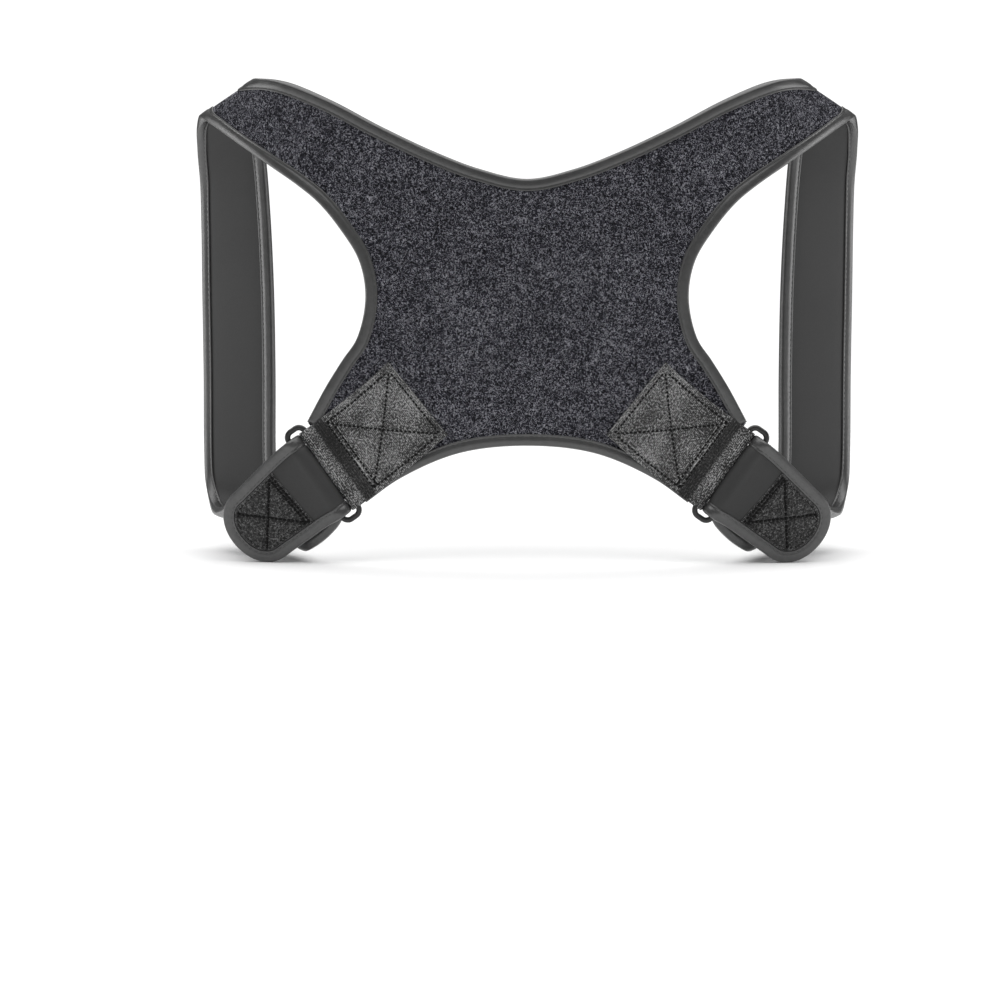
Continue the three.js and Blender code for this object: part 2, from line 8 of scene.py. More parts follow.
# %% Load the frame
import math
import bpy
import numpy as np
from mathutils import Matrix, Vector


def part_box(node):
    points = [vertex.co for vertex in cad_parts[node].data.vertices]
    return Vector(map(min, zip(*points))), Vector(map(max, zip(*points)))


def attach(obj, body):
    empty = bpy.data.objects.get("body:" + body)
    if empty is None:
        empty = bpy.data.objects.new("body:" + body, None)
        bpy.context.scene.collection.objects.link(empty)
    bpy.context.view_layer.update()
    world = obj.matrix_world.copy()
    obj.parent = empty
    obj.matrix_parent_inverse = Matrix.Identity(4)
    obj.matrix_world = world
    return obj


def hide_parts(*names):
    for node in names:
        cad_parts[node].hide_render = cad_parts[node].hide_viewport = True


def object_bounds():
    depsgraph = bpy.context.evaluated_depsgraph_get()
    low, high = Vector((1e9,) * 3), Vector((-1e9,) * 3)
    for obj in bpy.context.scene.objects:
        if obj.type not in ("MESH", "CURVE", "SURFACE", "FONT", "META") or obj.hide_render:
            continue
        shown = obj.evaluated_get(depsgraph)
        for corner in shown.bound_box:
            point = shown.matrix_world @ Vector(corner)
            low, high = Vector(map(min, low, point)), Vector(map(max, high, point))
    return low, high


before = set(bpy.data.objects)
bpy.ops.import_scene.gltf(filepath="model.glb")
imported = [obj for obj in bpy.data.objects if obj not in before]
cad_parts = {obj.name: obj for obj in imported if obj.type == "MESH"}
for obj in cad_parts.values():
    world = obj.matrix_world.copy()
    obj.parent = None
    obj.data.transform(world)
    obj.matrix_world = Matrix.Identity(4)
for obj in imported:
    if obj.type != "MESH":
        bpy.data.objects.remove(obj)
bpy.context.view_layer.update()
MM = 0.001

# %% [markdown]
# ## Camera
# The photograph is taken from behind the wearer, nearly level, from far away, because the two
# shoulder straps show hardly any perspective. A long lens 1.8 m from the back panel gives that look.
# The part stands above the middle of the picture, so the camera is tipped down a little and its
# picture plane is shifted a little, which keeps upright lines nearly upright.

# %% Camera
PICTURE, SENSOR = 1000, 36.0  # pixels on a side of the picture, and the sensor's width in mm
PIXEL = 0.533  # mm at the back panel that one pixel of the picture covers
DISTANCE = 1800.0
PANEL_Y = -44.59  # the back panel's plane in the part's frame
FLOOR_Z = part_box("long_binding")[0][2] / MM
FLOOR_PIXEL = 566  # how far down the picture the lowest point lies
LOOK_UP = math.radians(2.5)  # height of the camera over the point it aims at, as an angle
AIM_PIXEL = (527.0, 322.0)  # where that point lies in the picture
SHIFT_DOWN = 0.06

aim = np.array([0.0, PANEL_Y, FLOOR_Z + (FLOOR_PIXEL - AIM_PIXEL[1]) * PIXEL])
eye = aim + DISTANCE * np.array([0.0, -math.cos(LOOK_UP), math.sin(LOOK_UP)])
lens = bpy.data.cameras.new("camera_lens")
lens.sensor_width = SENSOR
lens.lens = SENSOR * DISTANCE / (PICTURE * PIXEL)
lens.shift_y = -SHIFT_DOWN
lens.clip_end = 60
camera = bpy.data.objects.new("camera", lens)
bpy.context.scene.collection.objects.link(camera)
spread = SENSOR / lens.lens  # width of the picture at a distance of one
turn_left = math.atan((AIM_PIXEL[0] / PICTURE - 0.5) * spread)
tip_down = math.atan((0.5 - AIM_PIXEL[1] / PICTURE - SHIFT_DOWN) * spread)
camera.location = Vector(eye * MM)
camera.rotation_euler = (math.pi / 2 - LOOK_UP - tip_down, 0, turn_left)
bpy.context.scene.camera = camera
print("lens", round(lens.lens, 1), "mm, tipped down", round(math.degrees(tip_down), 2), "degrees")

# %% [markdown]
# ## Light
# The product stands on white in a soft studio light. Most of the light comes from one very wide soft
# box overhead, which brightens the shoulder crests and leaves hollows dark. Two low boxes at the sides
# catch the bends at the bottom. The room itself is dim, so that the dark cloth keeps its depth, but
# what the camera sees of it is white, like a paper backdrop that has its own lamps.

# %% Light
def soft_box(name, place, target, size, power):
    """A square area light at `place`, turned towards `target`; both in metres."""
    data = bpy.data.lights.new(name, "AREA")
    data.shape = "SQUARE"
    data.size, data.energy = size, power
    light = bpy.data.objects.new(name, data)
    light.visible_camera = False
    light.location = place
    light.rotation_euler = (Vector(target) - Vector(place)).to_track_quat("-Z", "Y").to_euler()
    bpy.context.scene.collection.objects.link(light)


MIDDLE = (0, 0, FLOOR_Z * MM + 0.13)
soft_box("overhead_box", (0, -0.1, 1.5), (0, -0.1, 0), size=3.6, power=84)
soft_box("left_box", (-1.3, 0.1, -0.14), MIDDLE, size=0.5, power=3.5)
soft_box("right_box", (1.3, 0.1, -0.14), MIDDLE, size=0.5, power=3.5)

ROOM, BACKDROP = 0.15, 1.1  # light that the room gives, and how bright it looks
world = bpy.data.worlds.new("studio_room")
world.use_nodes = True
room_nodes, room_links = world.node_tree.nodes, world.node_tree.links
seen = room_nodes.new("ShaderNodeLightPath")
level = room_nodes.new("ShaderNodeMapRange")
level.inputs["To Min"].default_value, level.inputs["To Max"].default_value = ROOM, BACKDROP
room_links.new(seen.outputs["Is Camera Ray"], level.inputs["Value"])
room_links.new(level.outputs["Result"], room_nodes["Background"].inputs["Strength"])
room_nodes["Background"].inputs["Color"].default_value = (1, 1, 1, 1)
bpy.context.scene.world = world
bpy.context.scene.view_settings.view_transform = "Standard"

# %% [markdown]
# ## From grids to meshes
# Every shape here is a grid of points worked out as whole arrays. One helper turns such a grid into
# a mesh. It joins points that coincide, such as the middle line where two mirrored halves meet or the
# tip of a stitch, so that no seam or pole stays open.

# %% Mesh helpers
JOIN = 1e4  # points that agree to one part in this of a millimetre are joined
MIRROR = np.array([-1.0, 1.0, 1.0])
HANDS = (((1, 1, 1), "right"), (MIRROR, "left"))


def unit(v):
    """Each vector divided by its own length."""
    return v / np.maximum(np.linalg.norm(v, axis=-1, keepdims=True), 1e-12)


def travelled(line):
    """Distance covered along a line at each of its points: the sum of the steps before it."""
    return np.concatenate([[0], np.cumsum(np.linalg.norm(np.diff(line, axis=0), axis=1))])


def grid_quads(rows, columns, round_rows=False, round_columns=False):
    """Corners of every cell of a grid: (i, j), (i+1, j), (i+1, j+1), (i, j+1), wrapped if round."""
    i = np.arange(rows if round_rows else rows - 1)[:, None]
    j = np.arange(columns if round_columns else columns - 1)[None, :]
    steps = ((0, 0), (1, 0), (1, 1), (0, 1))
    corners = [(i + di) % rows * columns + (j + dj) % columns for di, dj in steps]
    return np.stack(np.broadcast_arrays(*corners), -1).reshape(-1, 4)


def enclosed_volume(points, cells):
    """Sum over the cells' two triangles of a . (b x c) / 6, negative if the faces point inwards."""
    a, b, c, d = (points[cells[:, k]] for k in range(4))
    return float(np.sum(a * np.cross(b, c)) + np.sum(a * np.cross(c, d))) / 6


def make_piece(name, points, quads, finish, maps=None):
    """A mesh from points in mm and four-cornered cells, with coincident points joined and faces out."""
    points = points.reshape(-1, 3)
    maps = np.zeros((len(points), 2)) if maps is None else maps
    keys = np.round(points * JOIN).astype(np.int64)
    _, first, where = np.unique(keys, axis=0, return_index=True, return_inverse=True)
    corners = where.ravel()[quads]
    keep = (corners == np.roll(corners, 1, axis=1)).sum(1) <= 1
    corners, quads = corners[keep], quads[keep]
    if enclosed_volume(points[first], corners) < 0:
        corners, quads = corners[:, ::-1], quads[:, ::-1]
    apart = corners != np.roll(corners, 1, axis=1)
    totals = apart.sum(1)
    mesh = bpy.data.meshes.new(name)
    mesh.vertices.add(len(first))
    mesh.vertices.foreach_set("co", (points[first] * MM).astype(np.float32).ravel())
    mesh.loops.add(int(totals.sum()))
    mesh.loops.foreach_set("vertex_index", corners[apart].astype(np.int32))
    mesh.polygons.add(len(totals))
    mesh.polygons.foreach_set("loop_start", (np.cumsum(totals) - totals).astype(np.int32))
    mesh.polygons.foreach_set("loop_total", totals.astype(np.int32))
    mesh.update(calc_edges=True)
    mesh.validate()
    layer = mesh.uv_layers.new(name="cloth_mm")
    layer.data.foreach_set("uv", maps[quads[apart]].astype(np.float32).ravel())
    mesh.polygons.foreach_set("use_smooth", np.ones(len(totals), bool))
    piece = bpy.data.objects.new(name, mesh)
    mesh.materials.append(finish)
    bpy.context.scene.collection.objects.link(piece)
    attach(piece, "root")
    print(name, len(mesh.vertices), "points,", len(totals), "cells")
    return piece


def with_mirror(points, quads, maps):
    """The same grid and its mirror image about X = 0, whose cells run the other way round."""
    points = points.reshape(-1, 3)
    both = np.concatenate([points, points * MIRROR])
    cells = np.concatenate([quads, quads[:, ::-1] + len(points)])
    return both, cells, np.concatenate([maps.reshape(-1, 2)] * 2)


# %% [markdown]
# ## Finishes
# All the cloth is nearly black, so what tells one from another is grain and gloss: curly brushed
# loops outside, a smooth knit inside, satin tape at the edge, ribbed webbing and fuzzy grip patches.
# Each finish is a small tree of noise and wave nodes that drives colour and a shallow bump. Grain
# without a direction reads Object coordinates in metres; a weave that follows the strap reads the
# piece's own map, which holds its millimetres.

# %% Finish helpers
WEBBING_MAP = 120.0  # mm of webbing that its map covers
# The webbing's colour is darkened in its two dips beside the bar: painted shade, on top of the real dip in
# its shape.
SHADED_DIPS = ((47.0, 56.2), (66.0, 75.2))  # where it dips outside and inside, in mm from its outer end
DIP_SHADE_RIBS = (  # painted shade at shares of a dip's width: dark, with faint lighter weave ribs beside the bar
    (0, 1), (0.17, 0.30), (0.27, 0.10), (0.36, 0.26), (0.45, 0.08), (0.54, 0.26), (0.63, 0.08),
    (0.72, 0.28), (0.80, 0.12), (1, 1),
)


def grey(level, blue=0.0):
    """A neutral colour, with a little more blue where wanted."""
    return (level, level, level * (1 + blue), 1)


class Finish:
    """A material with short calls for the nodes that the finishes below share."""

    def __init__(self, name, roughness, sheen=0.0, sheen_roughness=0.4, specular=0.3):
        self.material = bpy.data.materials.new(name)
        self.material.use_nodes = True
        self.nodes, self.links = self.material.node_tree.nodes, self.material.node_tree.links
        self.shader = self.nodes["Principled BSDF"]
        self.shader.inputs["Roughness"].default_value = roughness
        self.shader.inputs["Sheen Weight"].default_value = sheen
        self.shader.inputs["Sheen Roughness"].default_value = sheen_roughness
        self.shader.inputs["Specular IOR Level"].default_value = specular
        self.place = self.nodes.new("ShaderNodeTexCoord")

    def join(self, source, target):
        self.links.new(source, target)

    def mapped(self, scale=(1, 1, 1), turn=0.0, from_map=False):
        """Coordinates times `scale`, turned by `turn` degrees about the surface's own Z."""
        node = self.nodes.new("ShaderNodeMapping")
        node.inputs["Scale"].default_value = scale
        node.inputs["Rotation"].default_value = (0, 0, math.radians(turn))
        self.join(self.place.outputs["UV" if from_map else "Object"], node.inputs["Vector"])
        return node.outputs["Vector"]

    def noise(self, vector, scale, detail=2.0, distortion=0.0, roughness=0.5):
        node = self.nodes.new("ShaderNodeTexNoise")
        settings = {"Scale": scale, "Detail": detail, "Distortion": distortion, "Roughness": roughness}
        for key, value in settings.items():
            node.inputs[key].default_value = value
        self.join(vector, node.inputs["Vector"])
        return node.outputs["Fac"]

    def wave(self, vector, scale, direction="X"):
        node = self.nodes.new("ShaderNodeTexWave")
        node.bands_direction = direction
        node.inputs["Scale"].default_value = scale
        self.join(vector, node.inputs["Vector"])
        return node.outputs["Fac"]

    def math(self, kind, a, b=None, clamp=False):
        node = self.nodes.new("ShaderNodeMath")
        node.operation, node.use_clamp = kind, clamp
        for socket, value in zip(node.inputs, (a, b)):
            if isinstance(value, (int, float)):
                socket.default_value = value
            elif value is not None:
                self.join(value, socket)
        return node.outputs[0]

    def total(self, *parts):
        """Sum of values, each times its share."""
        terms = [value if share == 1 else self.math("MULTIPLY", value, share) for value, share in parts]
        while len(terms) > 1:
            terms[:2] = [self.math("ADD", *terms[:2])]
        return terms[0]

    def ramp(self, value, *stops):
        """Greys along a value from 0 to 1; each stop is a place, a level and, if wanted, more blue."""
        node = self.nodes.new("ShaderNodeValToRGB")
        marks = node.color_ramp.elements
        for mark, (place, *tone) in ((marks[0], stops[0]), (marks[1], stops[-1])):
            mark.position, mark.color = place, grey(*tone)
        for place, *tone in stops[1:-1]:
            marks.new(place).color = grey(*tone)
        self.join(value, node.inputs["Fac"])
        return node.outputs["Color"]

    def dips(self):
        """1 on most of the webbing, low in the two bands of painted shade beside the bar, read from the
        map's length.
        """
        along = self.nodes.new("ShaderNodeSeparateXYZ")
        self.join(self.place.outputs["UV"], along.inputs["Vector"])
        length = self.math("DIVIDE", along.outputs["X"], WEBBING_MAP)
        stops = [((near + share * (far - near)) / WEBBING_MAP, tone)
                 for near, far in SHADED_DIPS for share, tone in DIP_SHADE_RIBS]
        return self.ramp(length, (0, 1), *stops, (1, 1))

    def darken(self, output, by):
        """One colour times another."""
        node = self.nodes.new("ShaderNodeMix")
        node.data_type, node.blend_type = "RGBA", "MULTIPLY"
        node.inputs["Factor"].default_value = 1.0
        self.join(output, node.inputs[6])
        self.join(by, node.inputs[7])
        return node.outputs[2]

    def colour(self, output):
        self.join(output, self.shader.inputs["Base Color"])

    def bump(self, height, strength, distance):
        """Relief from a height between 0 and 1; distance is its depth in mm."""
        node = self.nodes.new("ShaderNodeBump")
        node.inputs["Strength"].default_value = strength
        node.inputs["Distance"].default_value = distance * MM
        self.join(height, node.inputs["Height"])
        self.join(node.outputs["Normal"], self.shader.inputs["Normal"])


# %% [markdown]
# ### Brushed loop fabric
# The outside is a knit whose loops are brushed up into curls one to two millimetres wide. Thin bright
# lines where a noise crosses its middle value look like curls: the closer the noise is to a half, the
# brighter the point. Two such layers of different size keep the pattern from repeating.

# %% Brushed loop finish
CURLS = ((520, 1.3, 11.0), (880, 0.8, 8.0))  # scale and distortion of the noise, and how thin the lines are


def brushed_loop():
    """Brightness = curls of two sizes, each one minus a multiple of |noise - 0.5|."""
    f = Finish("brushed_loop_finish", 0.85, specular=0.12)
    place = f.mapped()
    curls = []
    for scale, distortion, thinness in CURLS:
        off = f.math("ABSOLUTE", f.math("SUBTRACT", f.noise(place, scale, 2.0, distortion), 0.5))
        curls.append(f.math("SUBTRACT", 1.0, f.math("MULTIPLY", off, thinness), clamp=True))
    both = f.total((curls[0], 0.5), (curls[1], 0.5))
    level = f.total((both, 0.85), (f.noise(place, 60, 3.0), 0.2))
    f.colour(f.ramp(level, (0.14, 0.004, 0.3), (0.38, 0.018, 0.38), (0.58, 0.060, 0.28), (0.80, 0.42, 0.10)))
    f.bump(both, 0.9, 0.9)
    return f.material


# %% [markdown]
# ### Smooth lining, tape, webbing and patch
# The lining is a fine knit with a soft gloss. The tape has fine ribs across its length and catches
# the light on its round edge. The webbing has crossing ribs with mottled light and dark yarn, and
# painted shade in its two dips beside the bar, and the grip patch is a dark fuzz.

# %% Lining, tape, webbing, patch and thread finishes
def smooth_lining():
    """A fine knit: two faint crossing waves under a broad, soft mottle."""
    f = Finish("smooth_lining_finish", 0.55, specular=0.35)
    place = f.mapped(from_map=True)
    knit = f.total((f.wave(place, 0.62), 1), (f.wave(place, 0.45, "Y"), 1))
    grain, broad = f.noise(f.mapped(), 900), f.noise(f.mapped(), 14)
    f.colour(f.ramp(f.total((broad, 0.7), (grain, 0.3)), (0.3, 0.027), (0.7, 0.036)))
    f.bump(f.total((knit, 0.3), (grain, 1)), 0.25, 0.12)
    return f.material


def satin_tape():
    """Fine ribs across the tape, under half a mm apart, and a slow pucker where stitches pull it in."""
    f = Finish("satin_tape_finish", 0.31, specular=0.85)
    ribs = f.wave(f.mapped(from_map=True), 0.72)
    pucker = f.noise(f.mapped((0.33, 0.25, 1), from_map=True), 1.0, 1.0)
    grain = f.noise(f.mapped(), 1100)
    f.colour(f.ramp(f.total((pucker, 0.6), (grain, 0.4)), (0.3, 0.032), (0.7, 0.050)))
    f.bump(f.total((ribs, 0.25), (pucker, 1.2)), 0.35, 0.22)
    return f.material


def ribbed_webbing():
    """Ribs along and across, with yarn flecks from a stretched noise on top, and painted shade in the two
    hollows beside the bar.
    """
    f = Finish("ribbed_webbing_finish", 0.6, specular=0.4)
    place = f.mapped(from_map=True)
    weave = f.total((f.wave(place, 0.36), 0.5), (f.wave(place, 0.5, "Y"), 0.5))
    fleck = f.noise(f.mapped((1.2, 1.0, 1), from_map=True), 1.05, 1.0)
    level = f.total((fleck, 1), (weave, 0.3), (f.noise(f.mapped(), 75), 0.4))
    yarn = f.ramp(level, (0.72, 0.006), (0.83, 0.038), (0.91, 0.12), (1.0, 0.40))
    # painted shade: the yarn colour is multiplied by the dark bands of the two dips
    f.colour(f.darken(yarn, f.dips()))
    f.bump(f.total((weave, 1), (fleck, 0.8)), 0.85, 0.45)
    return f.material


def fuzzy_patch():
    """Dark fuzz: a fine distorted noise with a few lighter hairs."""
    f = Finish("fuzzy_patch_finish", 0.95, sheen=0.25, sheen_roughness=0.6, specular=0.1)
    fuzz = f.noise(f.mapped(), 950, 2.0, 1.0, 0.7)
    f.colour(f.ramp(fuzz, (0.40, 0.004), (0.52, 0.022), (0.66, 0.15)))
    f.bump(fuzz, 0.9, 0.6)
    return f.material


def twisted_thread(name, level):
    """Sewing thread: thin slanted bands of the two strands, nearly matt."""
    f = Finish(name, 0.6, specular=0.12)
    twist = f.wave(f.mapped(turn=35, from_map=True), 1.4)
    f.colour(f.ramp(twist, (0.2, level * 0.75), (0.8, level * 1.25)))
    return f.material


def satin_plastic():
    """Moulded black plastic: nearly smooth, with a faint orange-peel in the gloss."""
    f = Finish("satin_plastic_finish", 0.34, specular=0.5)
    place = f.mapped()
    f.colour(f.ramp(f.noise(place, 260), (0.3, 0.014), (0.7, 0.022)))
    f.bump(f.noise(place, 700), 0.15, 0.08)
    return f.material


LOOP, LINING, TAPE = brushed_loop(), smooth_lining(), satin_tape()
WEBBING, PATCH, PLASTIC = ribbed_webbing(), fuzzy_patch(), satin_plastic()
DARK_THREAD = twisted_thread("dark_thread_finish", 0.007)
TAPE_THREAD = twisted_thread("tape_thread_finish", 0.075)

# %% [markdown]
# ## The pattern of the cloth
# The panel and its two arms are one X-shaped cut, and each arm runs on over the shoulder as a strap.
# Both edges of the cut are given row by row, from the lower corner up to the crest and down the strap
# to the ring, and a smooth curve passes through them. Shares of three main sizes keep the proportions
# in plain sight. Point 0 of everything is between the shoulder crests, where the body carries it.

# %% Main sizes and edge rows
HALF_SPAN, LOOP_DEPTH, HEIGHT = 182.0, 98.0, 260.0
STRAP_WIDTH, WEBBING_WIDTH = 50.0, 50.0
FACE, LINING_THICK, LAYER_GAP = 1.0, 2.0, 0.2
TAPE_THICK, TAPE_WIDTH, TAPE_GAP = 0.6, 6.5, 0.25
HALF_STACK = (FACE + LAYER_GAP + LINING_THICK) / 2
EDGE_INSET = TAPE_GAP + TAPE_THICK
LEG = TAPE_WIDTH - EDGE_INSET
PIECE_GAP, WEBBING_THICK, RING_WIRE = 0.3, 1.5, 3.0
RING_SLOPE, STRAP_LEAN, FLAP_SLOPE = 35.0, 13.0, 40.5
FLAP_LEAN, FLAP_BEND, FLAP_LENGTH = (24.0, 14.0), 0.25, 56.5
SEAT = np.array([0.0, 44.59, 245.33])  # table point that becomes point 0

# arm side x, y, z, then the side across from it: bottom edge, middle line, neck edge
PANEL_ROWS = np.array([
    [0.590, 0.0, 0.363, 0.371, 0.0, 0.175], [0.541, 0.0, 0.418, 0.200, 0.0, 0.2265],
    [0.498, 0.0, 0.4635, 0.0, 0.0, 0.242], [0.473, 0.0, 0.546, 0.0, 0.0, 0.515],
    [0.491, 0.005, 0.621, 0.0, 0.0, 0.789], [0.548, 0.02, 0.687, 0.137, 0.0, 0.809],
    [0.610, 0.05, 0.739, 0.269, 0.0, 0.844], [0.670, 0.10, 0.7735, 0.4275, 0.01, 0.896],
    [0.757, 0.20, 0.815, 0.570, 0.04, 0.948], [0.854, 0.35, 0.861, 0.697, 0.11, 0.985],
])
# middle of the strap x, y, z, then its turn towards the chest and its rise, in degrees
STRAP_ROWS = np.array([
    [0.846, 0.350, 0.946, 42, -30], [0.887, 0.455, 0.953, 43, -24], [0.908, 0.590, 0.937, 42, -23],
    [0.909, 0.735, 0.889, 40, -23], [0.899, 0.832, 0.813, 37, -22], [0.892, 0.865, 0.704, 36, -16],
    [0.886, 0.867, 0.550, 35, -7], [0.883, 0.867, 0.373, 35, -2], [0.883, 0.862, 0.205, 35, 3],
    [0.877, 0.820, 0.120, 33, 8], [0.860, 0.720, 0.076, 29, 12], [0.834, 0.585, 0.057, 24, 16],
    [0.798, 0.430, 0.060, 19, 21], [0.768, 0.270, 0.069, 14, 30], [0.736, 0.160, 0.087, 10, 39],
    [0.690, 0.100, 0.114, 6, 46], [0.643, 0.062, 0.148, 3, 50.5],
])
BOTTOM, NECK, SEAM = 3, 5, 13  # rows on the middle line, and the row of the shoulder seam
ARM_END, INNER_END = (-3.4, 27.6), (-4.2, -25.7)  # mm outward and along the bar where the edges end
SCALE = np.array([HALF_SPAN, LOOP_DEPTH, HEIGHT])
X, Y, Z = np.eye(3)


def down_slope(degrees):
    """Direction in the back's plane that points out and down by an angle."""
    a = np.radians(np.asarray(degrees, float))[..., None]
    return np.cos(a) * X - np.sin(a) * Z


def bar_line(degrees):
    """Direction square to that slope, up and out, along the ring's bars."""
    a = np.radians(np.asarray(degrees, float))[..., None]
    return np.sin(a) * X + np.cos(a) * Z


OUTWARD, BAR = down_slope(RING_SLOPE), bar_line(RING_SLOPE)
half_bound = HALF_STACK + EDGE_INSET
WEB_TURN = RING_WIRE / 2 + PIECE_GAP + WEBBING_THICK / 2
STRAP_TURN = RING_WIRE / 2 + PIECE_GAP + half_bound
BAR_SPACING = RING_WIRE + 3 * PIECE_GAP + WEBBING_THICK + 2 * half_bound
ring_centre = np.array([0.598, 0, 0.184]) * SCALE
panel_bar = ring_centre - OUTWARD * BAR_SPACING / 2
strap_bar = ring_centre + OUTWARD * BAR_SPACING / 2

# %% [markdown]
# ## A smooth curve through the rows
# A centripetal Catmull-Rom spline passes through every row without loops or overshoot, which is what
# a cut edge of cloth does. It can be asked for any row, also between two.

# %% Spline and edges
TINY = 1e-3  # rows either side over which the run of the cloth is measured


def spline(points, rows):
    """Cubic through p1 and p2 with end slopes from p0..p3 and knots spaced by the root of distance."""
    ends = np.vstack([2 * points[0] - points[1], points, 2 * points[-1] - points[-2]])
    rows = np.clip(rows, 0, len(points) - 1)
    i = np.minimum(np.floor(rows).astype(int), len(points) - 2)
    t = (rows - i)[..., None]
    p0, p1, p2, p3 = (ends[i + k] for k in range(4))
    gap = lambda a, b: np.maximum(np.linalg.norm(b - a, axis=-1, keepdims=True), 1e-9) ** 0.5
    d0, d1, d2 = gap(p0, p1), gap(p1, p2), gap(p2, p3)
    m1 = ((p1 - p0) / d0 - (p2 - p0) / (d0 + d1) + (p2 - p1) / d1) * d1
    m2 = ((p2 - p1) / d1 - (p3 - p1) / (d1 + d2) + (p3 - p2) / d2) * d1
    return p1 + m1 * t + (3 * (p2 - p1) - 2 * m1 - m2) * t**2 + (2 * (p1 - p2) + m1 + m2) * t**3


def turned_side(turn, rise):
    """Direction across the strap for a turn towards the chest and a rise, in degrees."""
    turn, rise = np.radians(turn), np.radians(rise)
    return np.stack([np.cos(rise) * np.cos(turn), np.cos(rise) * np.sin(turn), np.sin(rise)], -1)


def round_bar(bar, radius, degrees):
    """A point on a circle of that radius round a ring bar, starting on the chest side."""
    a = np.radians(np.asarray(degrees, float))[..., None]
    return bar + radius * (np.cos(a) * Y - np.sin(a) * OUTWARD)


def edge_rows(end, panel_rows, sign):
    """One edge from the lower corner to the ring; sign is 1 on the arm side and -1 across from it."""
    corner = panel_bar + end[0] * OUTWARD + end[1] * BAR
    half = sign * STRAP_WIDTH / 2
    strap = STRAP_ROWS[:, :3] * SCALE + turned_side(STRAP_ROWS[:, 3], STRAP_ROWS[:, 4]) * half
    at_ring = round_bar(strap_bar, STRAP_TURN, STRAP_LEAN) + BAR * half
    return np.vstack([corner, panel_rows * SCALE, strap, at_ring])


ARM_POINTS = edge_rows(ARM_END, PANEL_ROWS[:, :3], 1)
INNER_POINTS = edge_rows(INNER_END, PANEL_ROWS[:, 3:], -1)
LAST = len(ARM_POINTS) - 1
bottom_half, neck_half = INNER_POINTS[:BOTTOM], INNER_POINTS[NECK + 1:]
BOTTOM_POINTS = np.vstack([bottom_half, INNER_POINTS[BOTTOM], (bottom_half * MIRROR)[::-1]])
NECK_POINTS = np.vstack([(neck_half * MIRROR)[::-1], INNER_POINTS[NECK], neck_half])


def arm_edge(rows):
    """Finished armhole edge at each row."""
    return spline(ARM_POINTS, rows)


def middle_line(rows, inset=0.0):
    """The straight middle line between the bottom and the neck edge, drawn in by an inset at both ends."""
    share = np.clip((rows - BOTTOM) / (NECK - BOTTOM), 0, 1)[..., None]
    return (INNER_POINTS[BOTTOM] + inset * Z) * (1 - share) + (INNER_POINTS[NECK] - inset * Z) * share


def inner_edge(rows):
    """Edge across from the armhole: bottom edge, then the middle line, then the neck edge."""
    low = spline(BOTTOM_POINTS, rows)
    high = spline(NECK_POINTS, rows - NECK + len(neck_half))
    at = rows[..., None]
    return np.where(at <= BOTTOM, low, np.where(at >= NECK, high, middle_line(rows)))


def edge_direction(rows, side):
    """Unit direction of an edge at each row; side 0 is the armhole, side 1 the edge across."""
    edge = inner_edge if side else arm_edge
    before, after = rows - 0.02, rows + 0.02
    if side:
        before = np.where(rows >= NECK, np.maximum(before, NECK), before)
        after = np.where(rows <= BOTTOM, np.minimum(after, BOTTOM), after)
    return unit(edge(np.minimum(after, LAST)) - edge(np.maximum(before, 0)))


def cloth_edges(rows):
    """The cloth's two edges inside the tape: each cut back by the inset over the sine of its slant."""
    arm, inner = arm_edge(rows), inner_edge(rows)
    across = unit(arm - inner)
    sines = [np.linalg.norm(np.cross(across, edge_direction(rows, side)), axis=-1, keepdims=True)
             for side in (0, 1)]
    slant = [1 / sine for sine in sines]
    on_middle = ((rows >= BOTTOM) & (rows <= NECK))[..., None]
    cut_inner = np.where(on_middle, middle_line(rows, EDGE_INSET), inner + across * EDGE_INSET * slant[1])
    return arm - across * EDGE_INSET * slant[0], cut_inner, slant


def cloth_points(rows, shares):
    """Middle surface on a grid of rows and shares across, with its outward normals."""
    def place(r):
        arm, inner, _ = cloth_edges(r)
        return arm[:, None] + (inner - arm)[:, None] * shares[..., None]
    forward = place(np.minimum(rows + TINY, LAST)) - place(np.maximum(rows - TINY, 0))
    arm, inner, _ = cloth_edges(rows)
    normals = unit(np.cross(unit(arm - inner)[:, None], forward))
    points = place(rows)
    return points, np.where(np.abs(points[..., :1]) < 1e-6, -Y, normals)


print("armhole edge is", round(float(travelled(arm_edge(np.linspace(0, LAST, 400)))[-1])), "mm long")

# %% [markdown]
# ## Turn and flap
# Past the last row the strap turns round the ring's outer bar and lies back on itself as the flap,
# which leans towards the chest and ends in a blunt round tip. Its middle line is added up in short
# steps, because its slope and lean change at first and then hold.

# %% Turn and flap
ROUND_AT, ROUND_POWER, FLAP_TAPER = 0.66 * FLAP_LENGTH, 2.4, 0.88
CLOTH_WIDTH = STRAP_WIDTH - 2 * EDGE_INSET
FLAP_STEP = 0.005  # share of the flap's length that one step covers


def flap_heading(reach):
    """Unit direction down the flap and the direction across it, at shares of its length."""
    t = np.clip(reach / FLAP_BEND, 0, 1)[..., None]
    settled = t * t * (3 - 2 * t)
    slope = RING_SLOPE + (FLAP_SLOPE - RING_SLOPE) * settled[..., 0]
    lean = np.radians(FLAP_LEAN[0] + (FLAP_LEAN[1] - FLAP_LEAN[0]) * settled)
    return down_slope(slope) * np.cos(lean) + Y * np.sin(lean), bar_line(slope)


STEPS = np.arange(0, 1.12, FLAP_STEP)
step_vectors = flap_heading(STEPS[:-1] + FLAP_STEP / 2)[0] * FLAP_LENGTH * FLAP_STEP
flap_start = round_bar(strap_bar, STRAP_TURN, 180 + FLAP_LEAN[0])
FLAP_LINE = flap_start + np.vstack([np.zeros(3), np.cumsum(step_vectors, 0)])


def flap_points(down, side):
    """Points and normals of the flap at distances in mm down from the ring and across from its middle."""
    reach = down / FLAP_LENGTH
    line = np.stack([np.interp(reach, STEPS, FLAP_LINE[:, k]) for k in range(3)], -1)
    heading, across = flap_heading(reach)
    points = line + across * side[..., None]
    return points, np.broadcast_to(unit(np.cross(across, heading)), points.shape)


